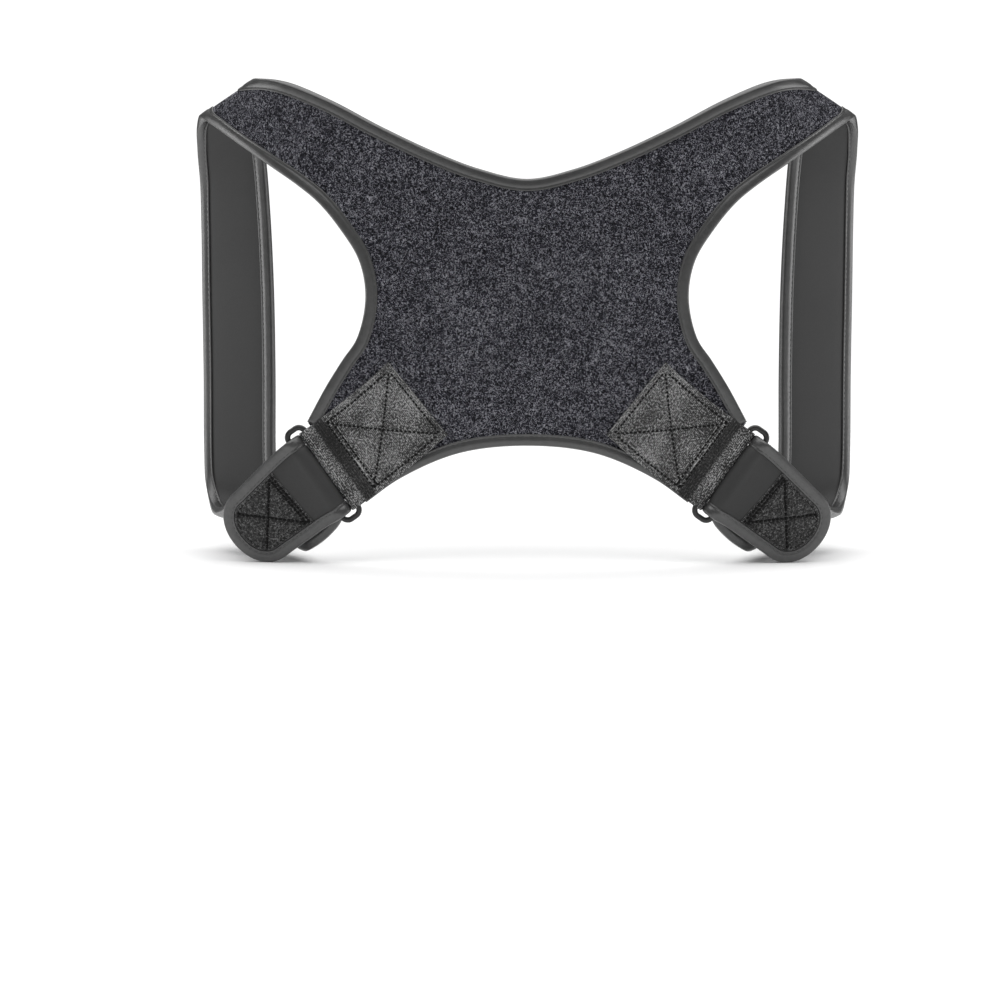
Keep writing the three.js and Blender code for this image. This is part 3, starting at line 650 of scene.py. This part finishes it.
def flap_half(down, tip=FLAP_LENGTH, margin=0.0):
    """Half of the width in mm: a slight taper less a margin, times a superellipse towards the tip."""
    taper = 1 + (FLAP_TAPER - 1) * np.minimum(1, down / ROUND_AT)
    end = np.clip((down - ROUND_AT) / (tip - ROUND_AT), 0, 1)
    return (CLOTH_WIDTH / 2 * taper - margin) * np.sqrt(1 - end**ROUND_POWER)


def towards_tip(start, tip, straight, rounded):
    """Distances down the flap: even as far as its round end, then crowding together up to the tip."""
    round_end = (tip - ROUND_AT) * np.sin(np.linspace(0, math.pi / 2, rounded)[1:])
    return np.concatenate([np.linspace(start, ROUND_AT, straight), ROUND_AT + round_end])


def turn_points(share, side):
    """Points and normals where the cloth goes round the bar; share 0 to 1 along, side in mm across."""
    centre = round_bar(strap_bar, STRAP_TURN, STRAP_LEAN + (180 + FLAP_LEAN[0] - STRAP_LEAN) * share)
    points = centre + BAR * side[..., None]
    return points, np.broadcast_to(unit(strap_bar - centre), points.shape)


# %% [markdown]
# ## The cloth layers
# The loop fabric and the foam lining are two thin closed walls with a hair of space between them.
# Away from the tape both swell a little, because the stitches press them flat only at the edge.

# %% Cloth layers
ROW_STEP = 1 / 10
FIRST_ROW = 0.03  # the cloth ends here, beside the ring and between the two ends of the webbing
PRESSED = 0.4  # share of the full thickness left there
FACE_SWELL, LINING_SWELL, SWELL_WIDTH = 0.3, 0.45, 5.0
NO_TAPE_NEAR = 60.0  # distance that stands for the middle line, where the two halves are one
SHARES = np.linspace(0, 1, 29)
TURN_SHARES = np.linspace(0, 1, 26)[1:-1]
TURN_BULGE = 0.85  # how far the foam stands out where it bends sharply round the bar
LAYERS = (("face", LOOP, "brushed_loop"), ("lining", LINING, "smooth_lining"))


def rows_between(first, last, wholes=()):
    """Rows a tenth apart, with the last one and any whole rows asked for."""
    return np.unique(np.round(np.concatenate([np.arange(first, last, ROW_STEP), [last], wholes]), 6))


PANEL_GRID = rows_between(FIRST_ROW, SEAM, np.arange(1, SEAM))
STRAP_GRID = rows_between(SEAM, LAST)


def pressed(rows):
    """Share of the full thickness left where the lower corner is squeezed under the webbing."""
    return PRESSED + (1 - PRESSED) * np.clip(rows, 0, 1)


def swell(distance, amount):
    """Height gained away from the tape: amount times one minus a decay over 5 mm."""
    return amount * (1 - np.exp(-np.maximum(distance - LEG, 0) / SWELL_WIDTH))


def layer_heights(rows_pressed, distance, which, bulge=0.0):
    """Low and high faces of the loop face or the lining over the middle surface, with a bulge."""
    if which == "face":
        low = (HALF_STACK - FACE) * rows_pressed
        high = HALF_STACK * rows_pressed + swell(distance, FACE_SWELL) * rows_pressed
    else:
        stands_out = bulge * np.clip((distance - LEG + 1) / 1.2, 0, 1)
        low = -HALF_STACK * rows_pressed - swell(distance, LINING_SWELL) * rows_pressed - stands_out
        high = (-HALF_STACK + LINING_THICK) * rows_pressed
    return np.broadcast_to(low, distance.shape), np.broadcast_to(high, distance.shape)


def cloth_wall(points, normals, low, high, flat_map, joined=()):
    """Closed wall between two heights over a surface; its last column stays open on joined rows."""
    top = points + normals * high[..., None] - SEAT
    bottom = points + normals * low[..., None] - SEAT
    rows, columns = points.shape[:2]
    below = rows * columns
    lid = grid_quads(rows, columns)
    index = np.arange(below).reshape(rows, columns)
    loop = np.concatenate([index[0, :-1], index[:-1, -1], index[-1, :0:-1], index[:0:-1, 0]])
    following = np.roll(loop, -1)
    rim = np.stack([loop, following, following + below, loop + below], -1)
    rim = rim[~np.isin(loop, index[list(joined), -1])]
    both = np.concatenate([top.reshape(-1, 3), bottom.reshape(-1, 3)])
    cells = np.concatenate([lid, lid[:, ::-1] + below, rim])
    return both, cells, np.concatenate([flat_map.reshape(-1, 2)] * 2)


def grid_map(points):
    """Map coordinates in mm: distance along the middle column, and distance across each row."""
    along = travelled(points[:, points.shape[1] // 2])
    steps = np.linalg.norm(np.diff(points, axis=1), axis=2)
    across = np.concatenate([np.zeros((len(points), 1)), np.cumsum(steps, 1)], 1)
    return np.stack([np.broadcast_to(along[:, None], across.shape), across - across[:, -1:] / 2], -1)


panel_points, panel_normals = cloth_points(PANEL_GRID, SHARES)
panel_width = np.linalg.norm(panel_points[:, -1] - panel_points[:, 0], axis=-1)[:, None]
on_middle = (PANEL_GRID >= BOTTOM) & (PANEL_GRID <= NECK)
to_inner = np.where(on_middle[:, None], NO_TAPE_NEAR, (1 - SHARES) * panel_width)
panel_distance = np.minimum(SHARES * panel_width, to_inner)
joined_rows = np.flatnonzero(on_middle)[:-1]
for which, finish, slot in LAYERS:
    low, high = layer_heights(pressed(PANEL_GRID)[:, None], panel_distance, which)
    half_panel = cloth_wall(panel_points, panel_normals, low, high, grid_map(panel_points), joined_rows)
    points, cells, maps = with_mirror(*half_panel)
    piece = make_piece(f"panel_{which}_cloth", points, cells, finish, maps)
    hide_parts(f"panel_{which}")

# %% [markdown]
# ## Straps
# Each strap is the same two walls carried on from the shoulder seam, round the ring's bar and down to
# the tip of the flap, as one grid. The rows of the flap crowd together towards the round tip, so that
# the outline there stays smooth.

# %% Straps
def strap_grid():
    """Points, normals, distances to the nearer edge and foam bulge for strap, turn and flap as one."""
    down = towards_tip(0, FLAP_LENGTH, 24, 26)[:, None]
    parts = (
        cloth_points(STRAP_GRID, SHARES),
        turn_points(TURN_SHARES[:, None], (0.5 - SHARES) * CLOTH_WIDTH),
        flap_points(down, flap_half(down) * (1 - 2 * SHARES)),
    )
    points, normals = (np.concatenate(grids) for grids in zip(*parts))
    width = np.linalg.norm(points[:, -1] - points[:, 0], axis=-1)[:, None]
    distance = np.minimum(SHARES, 1 - SHARES) * width
    distance[-len(down):] = np.minimum(distance[-len(down):], FLAP_LENGTH - down)
    bulge = np.zeros((len(points), 1))
    bulge[len(STRAP_GRID):-len(down), 0] = TURN_BULGE * np.sin(math.pi * TURN_SHARES) ** 0.7
    return points, normals, distance, bulge


strap_points, strap_normals, strap_distance, strap_bulge = strap_grid()
for flip, hand in HANDS:
    for which, finish, slot in LAYERS:
        low, high = layer_heights(1.0, strap_distance, which, strap_bulge)
        points, cells, maps = cloth_wall(strap_points, strap_normals, low, high, grid_map(strap_points))
        piece = make_piece(f"strap_{which}_{hand}_cloth", points * flip, cells, finish, maps)
        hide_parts(f"strap_{which}_{hand}")

# %% [markdown]
# ## Binding tape
# A tape folded over the raw edge covers both faces and the edge itself, and one line of stitches
# holds it. Its section is a thin U with a rounded fold. Carried along the whole edge, from one lower
# corner up the armhole, over the shoulder, round the flap and back along the neck, it is one tube.

# %% Tape section
STITCH_LINE = LEG - 1.3  # distance of the stitches inside the cloth's edge
FACE_CORNERS, FOLD_CORNERS = 9, 13  # of the section, on each face and round the fold
OUTER_CORNERS = 2 * FACE_CORNERS + FOLD_CORNERS
FACE_STITCH = 4  # place of the stitch line among the section's corners
LINING_STITCH = OUTER_CORNERS - 1 - FACE_STITCH
CAP_OUTER, CAP_INNER = (0, 6, 8, 12, 15, 18, 22, 24, 30), range(9)  # corners that face each other
SQUARE_UNTIL, SQUARE_FADE = 5.6, 1.2  # rows up to which the tape is square to the edge, and its fade


def tape_section():
    """Closed section as rows of (inside, core, extra): height = core times half the cloth, plus extra."""
    out, inn = EDGE_INSET, TAPE_GAP
    face = np.array([
        [LEG, 1, inn + 0.1], [LEG + 0.02, 1, out - 0.2], [LEG - 0.2, 1, out - 0.02],
        [LEG - 0.75, 1, out - 0.02], [STITCH_LINE + 0.1, 1, out - 0.2],
        [STITCH_LINE - 0.5, 1, out - 0.02], [LEG * 0.6, 1, out + 0.14], [LEG * 0.3, 1, out + 0.14],
        [0.9, 1, out + 0.02],
    ])
    angle = np.radians(np.linspace(12, 168, FOLD_CORNERS))
    fold = np.stack([0.5 - (0.5 + out) * np.sin(angle) ** 0.8, np.cos(angle), out * np.cos(angle)], -1)
    other = face[::-1] * np.array([1, -1, -1])
    hollow = np.array([
        [LEG, -1, -inn], [LEG / 2, -1, -inn], [-inn + 0.3, -1, -inn], [-inn, -0.75, -inn],
        [-inn, 0, 0], [-inn, 0.75, inn], [-inn + 0.3, 1, inn], [LEG / 2, 1, inn], [LEG, 1, inn],
    ])
    return np.concatenate([face, fold, other, hollow])


SECTION = tape_section()
INSIDE = SECTION[:, 0]
print("tape section has", len(SECTION), "corners")


def edge_strip(rows, side):
    """Points, normals and press of the edge strip: square to the edge below, along the rows above."""
    arm, inner, slant = cloth_edges(rows)
    share = INSIDE * slant[side] / np.linalg.norm(arm - inner, axis=-1, keepdims=True)
    along_row, normals = cloth_points(rows, 1 - share if side else share)
    direction = edge_direction(rows, side)
    inward = unit(arm - inner if side else inner - arm)
    inward = unit(inward - direction * np.sum(inward * direction, -1, keepdims=True))
    finished = (inner_edge if side else arm_edge)(rows)
    square = finished[:, None] + inward[:, None] * (EDGE_INSET + INSIDE)[:, None]
    if side:
        end, into = (NECK, -Z) if rows[-1] > NECK else (BOTTOM, Z)
        at_middle = rows[:, None, None] == end
        square = np.where(at_middle, finished[:, None] + into * (EDGE_INSET + INSIDE)[:, None], square)
        normals = np.where(at_middle, -Y, normals)
    weight = np.clip((rows - SQUARE_UNTIL) / SQUARE_FADE, 0, 1)[:, None, None]
    points = square * (1 - weight) + along_row * weight
    return points, normals, np.broadcast_to(pressed(rows)[:, None], points.shape[:2])


def turn_strip(share, side):
    """The same on the turn round the bar."""
    across = (CLOTH_WIDTH / 2 - INSIDE) * (-1 if side else 1)
    points, normals = turn_points(share[:, None], across)
    return points, normals, np.ones(points.shape[:2])


def flap_strip():
    """The same round the flap's outline: distances are taken square to the outline in its own plane."""
    down = towards_tip(0, FLAP_LENGTH, 26, 40)
    half = flap_half(down)
    there_and_back = np.stack([np.append(down, down[-2::-1]), np.append(half, -half[-2::-1])], -1)
    along = unit(np.gradient(there_and_back, axis=0))
    inward = np.stack([along[:, 1], -along[:, 0]], -1)
    flat = there_and_back[:, None] + inward[:, None] * INSIDE[:, None]
    points, normals = flap_points(flat[..., 0], flat[..., 1])
    return points, normals, np.ones(points.shape[:2])


def backwards(strip):
    return [part[::-1] for part in strip]


neck_side = backwards(edge_strip(rows_between(NECK, LAST), 1))
long_parts = (
    edge_strip(rows_between(FIRST_ROW, LAST), 0), turn_strip(TURN_SHARES, 0), flap_strip(),
    backwards(turn_strip(TURN_SHARES, 1)), neck_side,
)
long_strip = [np.concatenate(parts) for parts in zip(*long_parts)]
bottom_strip = edge_strip(rows_between(FIRST_ROW, BOTTOM), 1)


def make_tape(name, strip, node):
    """A tube with a cap at its lower corner, and its mirror image joined to it on the middle line."""
    points, normals, press = strip
    height = (SECTION[:, 1] * HALF_STACK + SECTION[:, 2]) * press
    grid = points + normals * height[..., None] - SEAT
    rows, columns = grid.shape[:2]
    outer = np.arange(OUTER_CORNERS)  # these run round the outside, the others back round the inside
    partner = columns - 1 - np.round(np.interp(outer, CAP_OUTER, CAP_INNER)).astype(int)
    cap = np.stack([outer[:-1], outer[1:], partner[1:], partner[:-1]], -1)
    cells = np.concatenate([grid_quads(rows, columns, round_columns=True), cap])
    along, around = travelled(grid[:, OUTER_CORNERS // 2]), travelled(grid[0])
    maps = np.stack(np.broadcast_arrays(along[:, None], around[None, :]), -1)
    points, cells, maps = with_mirror(grid, cells, maps)
    piece = make_piece(name, points, cells, TAPE, maps)
    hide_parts(node)
    return grid


long_tape = make_tape("long_tape", long_strip, "long_binding")
bottom_tape = make_tape("bottom_tape", bottom_strip, "bottom_binding")

# %% [markdown]
# ## Webbing
# A 50 mm webbing is sewn on the outside of the lower corner, goes round the ring's inner bar and is
# sewn on the inside. It is a strip carried along a path: high over the padded corner, a dip in front
# of the bar, a roll round it. Rows of stitches pull narrow grooves into it.

# %% Webbing
FRONT_LENGTH, BACK_LENGTH, FAN = 60.0, 40.0, 4.0
LEG_PATH = np.array([
    [60, 2.72], [50, 2.78], [38, 2.85], [28, 2.82], [20, 2.76], [15, 2.70], [12.5, 2.5], [10.9, 2.0],
    [9.2, 1.35], [7.2, 0.95], [5.2, 1.0], [3.3, 1.6],
])
PATH_STEP = 0.55
BOX_NEAR, BOX_HALF = 12.5, 21.5  # where the stitched box starts, in mm from the bar, and half its width
BOX_FAR = {1: 57.0, -1: BACK_LENGTH - 4}  # where it ends outside and inside
DOUBLE_ROW = 2.6  # distance between its two near rows
TAPE_LIFT = 0.45  # how much higher the webbing lies where a tape runs under it
ROLL_SLACK = 0.3  # the webbing stands this far off the bar and leans on the strap's turn
GROOVE, GROOVE_WIDTH, QUILT = 0.36, 1.1, 0.16


def webbing_path(length):
    """Distances from the bar and heights over the middle surface, as a smooth curve through LEG_PATH."""
    first = [length, np.interp(length, LEG_PATH[::-1, 0], LEG_PATH[::-1, 1])]
    route = np.vstack([first, LEG_PATH[LEG_PATH[:, 0] < length - 1]])
    return spline(route, np.linspace(0, len(route) - 1, int(length / PATH_STEP)))


def nearest_line(points, lines):
    """Distance of flat points from the nearest of some straight lines."""
    found = []
    for start, end in np.array(lines, float):
        line = end - start
        share = np.clip(((points - start) @ line) / (line @ line), 0, 1)
        found.append(np.linalg.norm(points - start - share[..., None] * line, axis=-1))
    return np.min(found, axis=0)


def box_lines(side):
    """The lines of a stitched box: its outline, a second near row, and the two diagonals."""
    near, far, half = BOX_NEAR, BOX_FAR[side], BOX_HALF
    return [
        ((near, -half), (near, half)), ((near + DOUBLE_ROW, -half), (near + DOUBLE_ROW, half)),
        ((far, -half), (far, half)), ((near, -half), (far, -half)), ((near, half), (far, half)),
        ((near, -half), (far, half)), ((near, half), (far, -half)),
    ]


def leg_surface(route, side, across):
    """Points of a webbing leg; side 1 is the outside, -1 the inside of the back."""
    distance, height = route[:, :1], route[:, 1:]
    place = across / (WEBBING_WIDTH / 2)
    over_low = np.clip((-place - 0.55) / 0.25, 0, 1)
    over_high = np.clip((place - 0.8) / 0.15, 0, 1) * np.clip((20 - distance) / 6, 0, 1)
    lift = TAPE_LIFT * np.maximum(over_low, over_high) * np.clip((distance - 7) / 3, 0, 1)
    nearest = nearest_line(np.stack(np.broadcast_arrays(distance, across), -1), box_lines(side))
    groove = GROOVE * np.exp(-((nearest / GROOVE_WIDTH) ** 2))
    quilt = QUILT * np.clip(nearest / 6, 0, 1) * (distance > BOX_NEAR)
    angle = (RING_SLOPE + FAN * distance / FRONT_LENGTH)[..., 0]
    level = height + lift - groove + quilt
    points = panel_bar - down_slope(angle)[:, None] * distance[..., None]
    return points + bar_line(angle)[:, None] * across[..., None] - side * Y * level[..., None]


across = np.linspace(-WEBBING_WIDTH / 2, WEBBING_WIDTH / 2, 89)[None, :]
routes = {1: webbing_path(FRONT_LENGTH), -1: webbing_path(BACK_LENGTH)}
angles = np.radians(np.linspace(-28, 208, 34))[1:-1, None]
roll_line = panel_bar + (WEB_TURN + ROLL_SLACK) * (-np.cos(angles) * Y + np.sin(angles) * OUTWARD)
webbing_middle = np.concatenate([
    leg_surface(routes[1], 1, across), roll_line[:, None] + BAR * across[..., None],
    leg_surface(routes[-1], -1, across)[::-1],
])
down_web, across_web = np.gradient(webbing_middle, axis=0), np.gradient(webbing_middle, axis=1)
webbing_normals = unit(np.cross(down_web, across_web))
if webbing_normals[5, 44, 1] > 0:
    webbing_normals = -webbing_normals
webbing_half = WEBBING_THICK / 2 * np.clip((1 - np.abs(across) / (WEBBING_WIDTH / 2)) / 0.02, 0.45, 1) ** 0.5
webbing_half = np.broadcast_to(webbing_half, webbing_middle.shape[:2])
points, cells, maps = cloth_wall(
    webbing_middle, webbing_normals, -webbing_half, webbing_half, grid_map(webbing_middle))
for flip, hand in HANDS:
    piece = make_piece(f"webbing_{hand}_weave", points * flip, cells, WEBBING, maps)
    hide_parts(f"webbing_{hand}")

# %% [markdown]
# ## Grip patch
# The end of each flap carries a fuzzy patch on its lining side. It is a low pad with a straight edge
# towards the ring and a round edge along the tip, pressed in where it is stitched.

# %% Grip patch
PATCH_START, PATCH_THICK = 14.0, 0.9
PATCH_SEAT = 0.5  # gap for the swollen lining under the patch
PATCH_GROOVE, PATCH_GROOVE_WIDTH = 0.75, 1.3
X_HALF = 15.5
patch_margin = LEG + PIECE_GAP
patch_tip = FLAP_LENGTH - patch_margin
patch_down = towards_tip(PATCH_START, patch_tip, 36, 30)
patch_half = flap_half(patch_down, patch_tip, patch_margin)
patch_side = patch_half[:, None] * np.linspace(1, -1, 61)[None, :]
patch_flat = np.stack(np.broadcast_arrays(patch_down[:, None], patch_side), -1)
PATCH_LINES = [
    ((PATCH_START + 1.6, -16.5), (PATCH_START + 1.6, 16.5)),
    ((PATCH_START + 3.4, -16), (PATCH_START + 3.4, 16)),
    ((PATCH_START + 3, -X_HALF), (patch_tip - 6, X_HALF - 3)),
    ((PATCH_START + 3, X_HALF), (patch_tip - 6, -X_HALF + 3)),
]


def patch_heights():
    """Top and base of the closed pad: it fades to a third at the rim and dips along the stitches."""
    to_side = np.abs(patch_half[:, None]) - np.abs(patch_side)
    to_ends = np.minimum(patch_tip - patch_down, patch_down - PATCH_START)[:, None]
    rim = np.clip(np.minimum(to_side, to_ends) / 1.2, 0, 1)
    groove = PATCH_GROOVE * np.exp(-((nearest_line(patch_flat, PATCH_LINES) / PATCH_GROOVE_WIDTH) ** 2))
    base = -HALF_STACK - PATCH_SEAT
    top = base - PATCH_THICK * (0.35 + 0.65 * rim * (2 - rim)) + groove * rim
    return top, np.full(top.shape, base)


patch_points, patch_normals = flap_points(patch_flat[..., 0], patch_flat[..., 1])
points, cells, maps = cloth_wall(patch_points, patch_normals, *patch_heights(), patch_flat)
for flip, hand in HANDS:
    piece = make_piece(f"end_patch_{hand}_fuzz", points * flip, cells, PATCH, maps)
    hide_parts(f"end_patch_{hand}")

# %% [markdown]
# ## Ring
# The ring is moulded in one piece: a soft-edged bar bent into a long loop with rounded ends. Its
# section is between a circle and a square, and its middle line is a rectangle with round corners.

# %% Ring
RING_ROOM, RING_CORNER = 1.9, 3.7  # space beside the strap, and the radius of the corners


def rounded_rectangle(half_long, half_short, corner, per_corner=14, per_side=24):
    """Middle line: two long sides and four quarter circles, as flat points and outward directions."""
    places, outs = [], []
    for turn, (sx, sy) in zip((0, 90, 180, 270), ((1, 1), (-1, 1), (-1, -1), (1, -1))):
        a = np.radians(turn + np.linspace(0, 90, per_corner))
        out = np.stack([np.cos(a), np.sin(a)], -1)
        places.append(np.array([sx * (half_long - corner), sy * (half_short - corner)]) + corner * out)
        outs.append(out)
        if turn in (0, 180):
            share = np.linspace(0, 1, per_side + 2)[1:-1, None]
            start = np.array([sx * (half_long - corner), sy * half_short])
            places.append(start * (1 - share) + start * np.array([-1, 1]) * share)
            outs.append(np.broadcast_to(np.array([0.0, sy]), (per_side, 2)))
    return np.concatenate(places), np.concatenate(outs)


def make_ring():
    """Superellipse section |u|^3 + |v|^3 = r^3 carried along the middle line."""
    half_long = STRAP_WIDTH / 2 + RING_ROOM + RING_WIRE / 2
    line, out = rounded_rectangle(half_long, BAR_SPACING / 2, RING_CORNER)
    a = np.linspace(0, 2 * math.pi, 24, endpoint=False)
    radius = RING_WIRE / 2 / (np.abs(np.cos(a)) ** 3 + np.abs(np.sin(a)) ** 3) ** (1 / 3)
    u, v = radius * np.cos(a), radius * np.sin(a)
    centre = ring_centre + line[:, :1] * BAR + line[:, 1:] * OUTWARD
    side = out[:, :1] * BAR + out[:, 1:] * OUTWARD
    return centre[:, None] + side[:, None] * u[:, None] + Y * v[:, None] - SEAT


ring_grid = make_ring()
ring_cells = grid_quads(*ring_grid.shape[:2], round_rows=True, round_columns=True)
for flip, hand in HANDS:
    piece = make_piece(f"ring_{hand}_moulded", ring_grid * flip, ring_cells, PLASTIC)
    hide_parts(f"ring_{hand}")

# %% [markdown]
# ## Thread
# Each stitch is a small rounded capsule that lies in its groove, one after the other along a line.
# All stitches of one kind are one mesh, worked out together.

# %% Stitches
RINGS, SIDES = 7, 6  # of each capsule
TAPE_STITCH = (2.9, 2.1, 0.2, 0.22)  # pitch, length, radius and sink in mm, here and below
# The box and patch stitches are thicker than real thread: their near-black colour shows the dark thread and
# also stands for the shade in the dimples beside it, as painted shade.
BOX_STITCH, PATCH_STITCH, RIM_STITCH = (2.3, 2.0, 0.60, 0.40), (2.3, 2.0, 0.65, 0.35), (2.3, 1.8, 0.3, 0.25)


def stitches(line, normals, pitch, length, radius, sink):
    """Capsules along a line: rings u from -1 to 1 with radius r(1 - u^4)^0.5, sunk at their ends."""
    gone = travelled(line)
    keep = np.concatenate([[True], np.diff(gone) > 1e-6])
    line, normals, gone = line[keep], normals[keep], gone[keep]
    places = np.arange(pitch / 2, gone[-1] - pitch / 2, pitch)
    take = lambda values, where: np.stack([np.interp(where, gone, values[:, k]) for k in range(3)], -1)
    centre, normal = take(line, places), take(normals, places)
    tangent = unit(take(line, places + length / 2) - take(line, places - length / 2))
    normal = unit(normal - tangent * np.sum(normal * tangent, -1, keepdims=True))
    side = np.cross(tangent, normal)
    u = np.linspace(-1, 1, RINGS)[None, :, None, None]
    a = np.linspace(0, 2 * math.pi, SIDES, endpoint=False)[None, None, :, None]
    thick = radius * np.sqrt(np.maximum(1 - u**4, 0))
    shape = lambda v: v[:, None, None, :]
    points = shape(centre) + shape(tangent) * u * length / 2 - shape(normal) * sink * u**2
    points = points + thick * (np.cos(a) * shape(side) + np.sin(a) * shape(normal))
    cells = grid_quads(RINGS, SIDES, round_columns=True)
    count = np.arange(len(places))[:, None, None] * RINGS * SIDES
    flat = np.stack(np.broadcast_arrays((u[0, :, :, 0] + 1) * length / 2, a[0, :, :, 0] / 3), -1)
    maps = np.broadcast_to(flat, (len(places), *flat.shape))
    return points.reshape(-1, 3), (cells + count).reshape(-1, 4), maps.reshape(-1, 2)


def sew(name, runs, finish):
    """Joins several runs of stitches and their mirror images into one piece."""
    points, cells, maps = zip(*runs)
    starts = np.cumsum([0] + [len(p) for p in points[:-1]])
    cells = np.concatenate([c + start for c, start in zip(cells, starts)])
    points, cells, maps = with_mirror(np.concatenate(points), cells, np.concatenate(maps))
    make_piece(name, points, cells, finish, maps)
    print(name, "has", len(points) // (RINGS * SIDES), "stitches")


def tape_run(grid, column, strip):
    """Stitches along one column of the tape's grid, with normals that point away from the cloth."""
    across_tape = grid[:, column + 1] - grid[:, column - 1]
    normals = unit(np.cross(np.gradient(grid[:, column], axis=0), across_tape))
    away = strip[1][10, column] * np.sign(SECTION[column, 1])
    normals = normals * np.sign(normals[10] @ away)
    return stitches(grid[:, column] + normals * 0.08, normals, *TAPE_STITCH)


tape_runs = [
    tape_run(grid, column, strip) for grid, strip in ((long_tape, long_strip), (bottom_tape, bottom_strip))
    for column in (FACE_STITCH, LINING_STITCH)
]
sew("tape_stitches", tape_runs, TAPE_THREAD)

# %% [markdown]
# The box stitches of the webbing and of the grip patch lie on those surfaces, so each line is first
# laid out flat and then lifted onto the grid that it is sewn through.

# %% Box stitches
def webbing_line(start, end, side):
    """A straight flat line lifted onto a webbing leg, with the direction that faces away from it."""
    distance, shift = np.linspace(start, end, 60).T
    route = routes[side][np.argsort(routes[side][:, 0])]
    height = np.interp(distance, route[:, 0], route[:, 1])
    points = leg_surface(np.stack([distance, height], -1), side, shift[:, None])[:, 0]
    normals = np.broadcast_to(-side * Y, points.shape)
    return points + normals * (WEBBING_THICK / 2 + 0.05) - SEAT, normals


def patch_line(down, side, depth):
    """A flat line lifted onto the grip patch, so far under its full height."""
    points, normals = flap_points(down, side)
    return points - normals * (HALF_STACK + PATCH_SEAT + PATCH_THICK - depth) - SEAT, -normals


box_runs = [stitches(*webbing_line(start, end, side), *BOX_STITCH)
            for side in (1, -1) for start, end in box_lines(side)]
sew("webbing_stitches", box_runs, DARK_THREAD)

patch_runs = [stitches(*patch_line(*np.linspace(start, end, 40).T, 0.42), *PATCH_STITCH)
              for start, end in PATCH_LINES]
RIM_INSET = 1.7
rim_down = np.concatenate([patch_down[1:], patch_down[-2:0:-1]])
rim_side = np.concatenate([patch_half[1:], -patch_half[-2:0:-1]])
rim_along = unit(np.stack([np.gradient(rim_down), np.gradient(rim_side)], -1))
rim_down, rim_side = rim_down + rim_along[:, 1] * RIM_INSET, rim_side - rim_along[:, 0] * RIM_INSET
patch_runs.append(stitches(*patch_line(rim_down, rim_side, 0.1), *RIM_STITCH))
sew("patch_stitches", patch_runs, DARK_THREAD)

# %% [markdown]
# ## Floor, sizes and finish
# A round white sheet lies under the lowest point of the two flaps, so that they touch it and their
# contact shadow starts there. It ends where the overhead light still makes it as white as the
# backdrop, so its edge doesn't show. The dressed part must keep the size of its frame, so its box
# is printed.

# %% Floor, sizes and finish
FLOOR_RADIUS, FLOOR_RINGS, FLOOR_SPOKES = (150, 950), 16, 48
PAPER = {"Base Color": (0.95, 0.95, 0.95, 1), "Roughness": 0.9, "Emission Color": (1, 1, 1, 1),
         "Emission Strength": 0.03}


def make_floor(z):
    """A round sheet: rings of growing radius around the part, at height z."""
    radius = np.concatenate([[0.0], np.geomspace(*FLOOR_RADIUS, FLOOR_RINGS)])[:, None]
    angle = np.linspace(0, 2 * math.pi, FLOOR_SPOKES, endpoint=False)[None, :]
    points = np.stack(np.broadcast_arrays(radius * np.cos(angle), radius * np.sin(angle), z), -1)
    cells = grid_quads(FLOOR_RINGS + 1, FLOOR_SPOKES, round_columns=True)
    mesh = bpy.data.meshes.new("floor")
    mesh.from_pydata((points.reshape(-1, 3) * MM).tolist(), [], cells.tolist())
    paper = bpy.data.materials.new("white_floor")
    paper.use_nodes = True
    for key, value in PAPER.items():
        paper.node_tree.nodes["Principled BSDF"].inputs[key].default_value = value
    mesh.materials.append(paper)
    floor = bpy.data.objects.new("floor", mesh)
    bpy.context.scene.collection.objects.link(floor)


dressed_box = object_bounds()
make_floor(dressed_box[0][2] / MM)
print("dressed box in mm:", [[round(v / MM, 1) for v in corner] for corner in dressed_box])
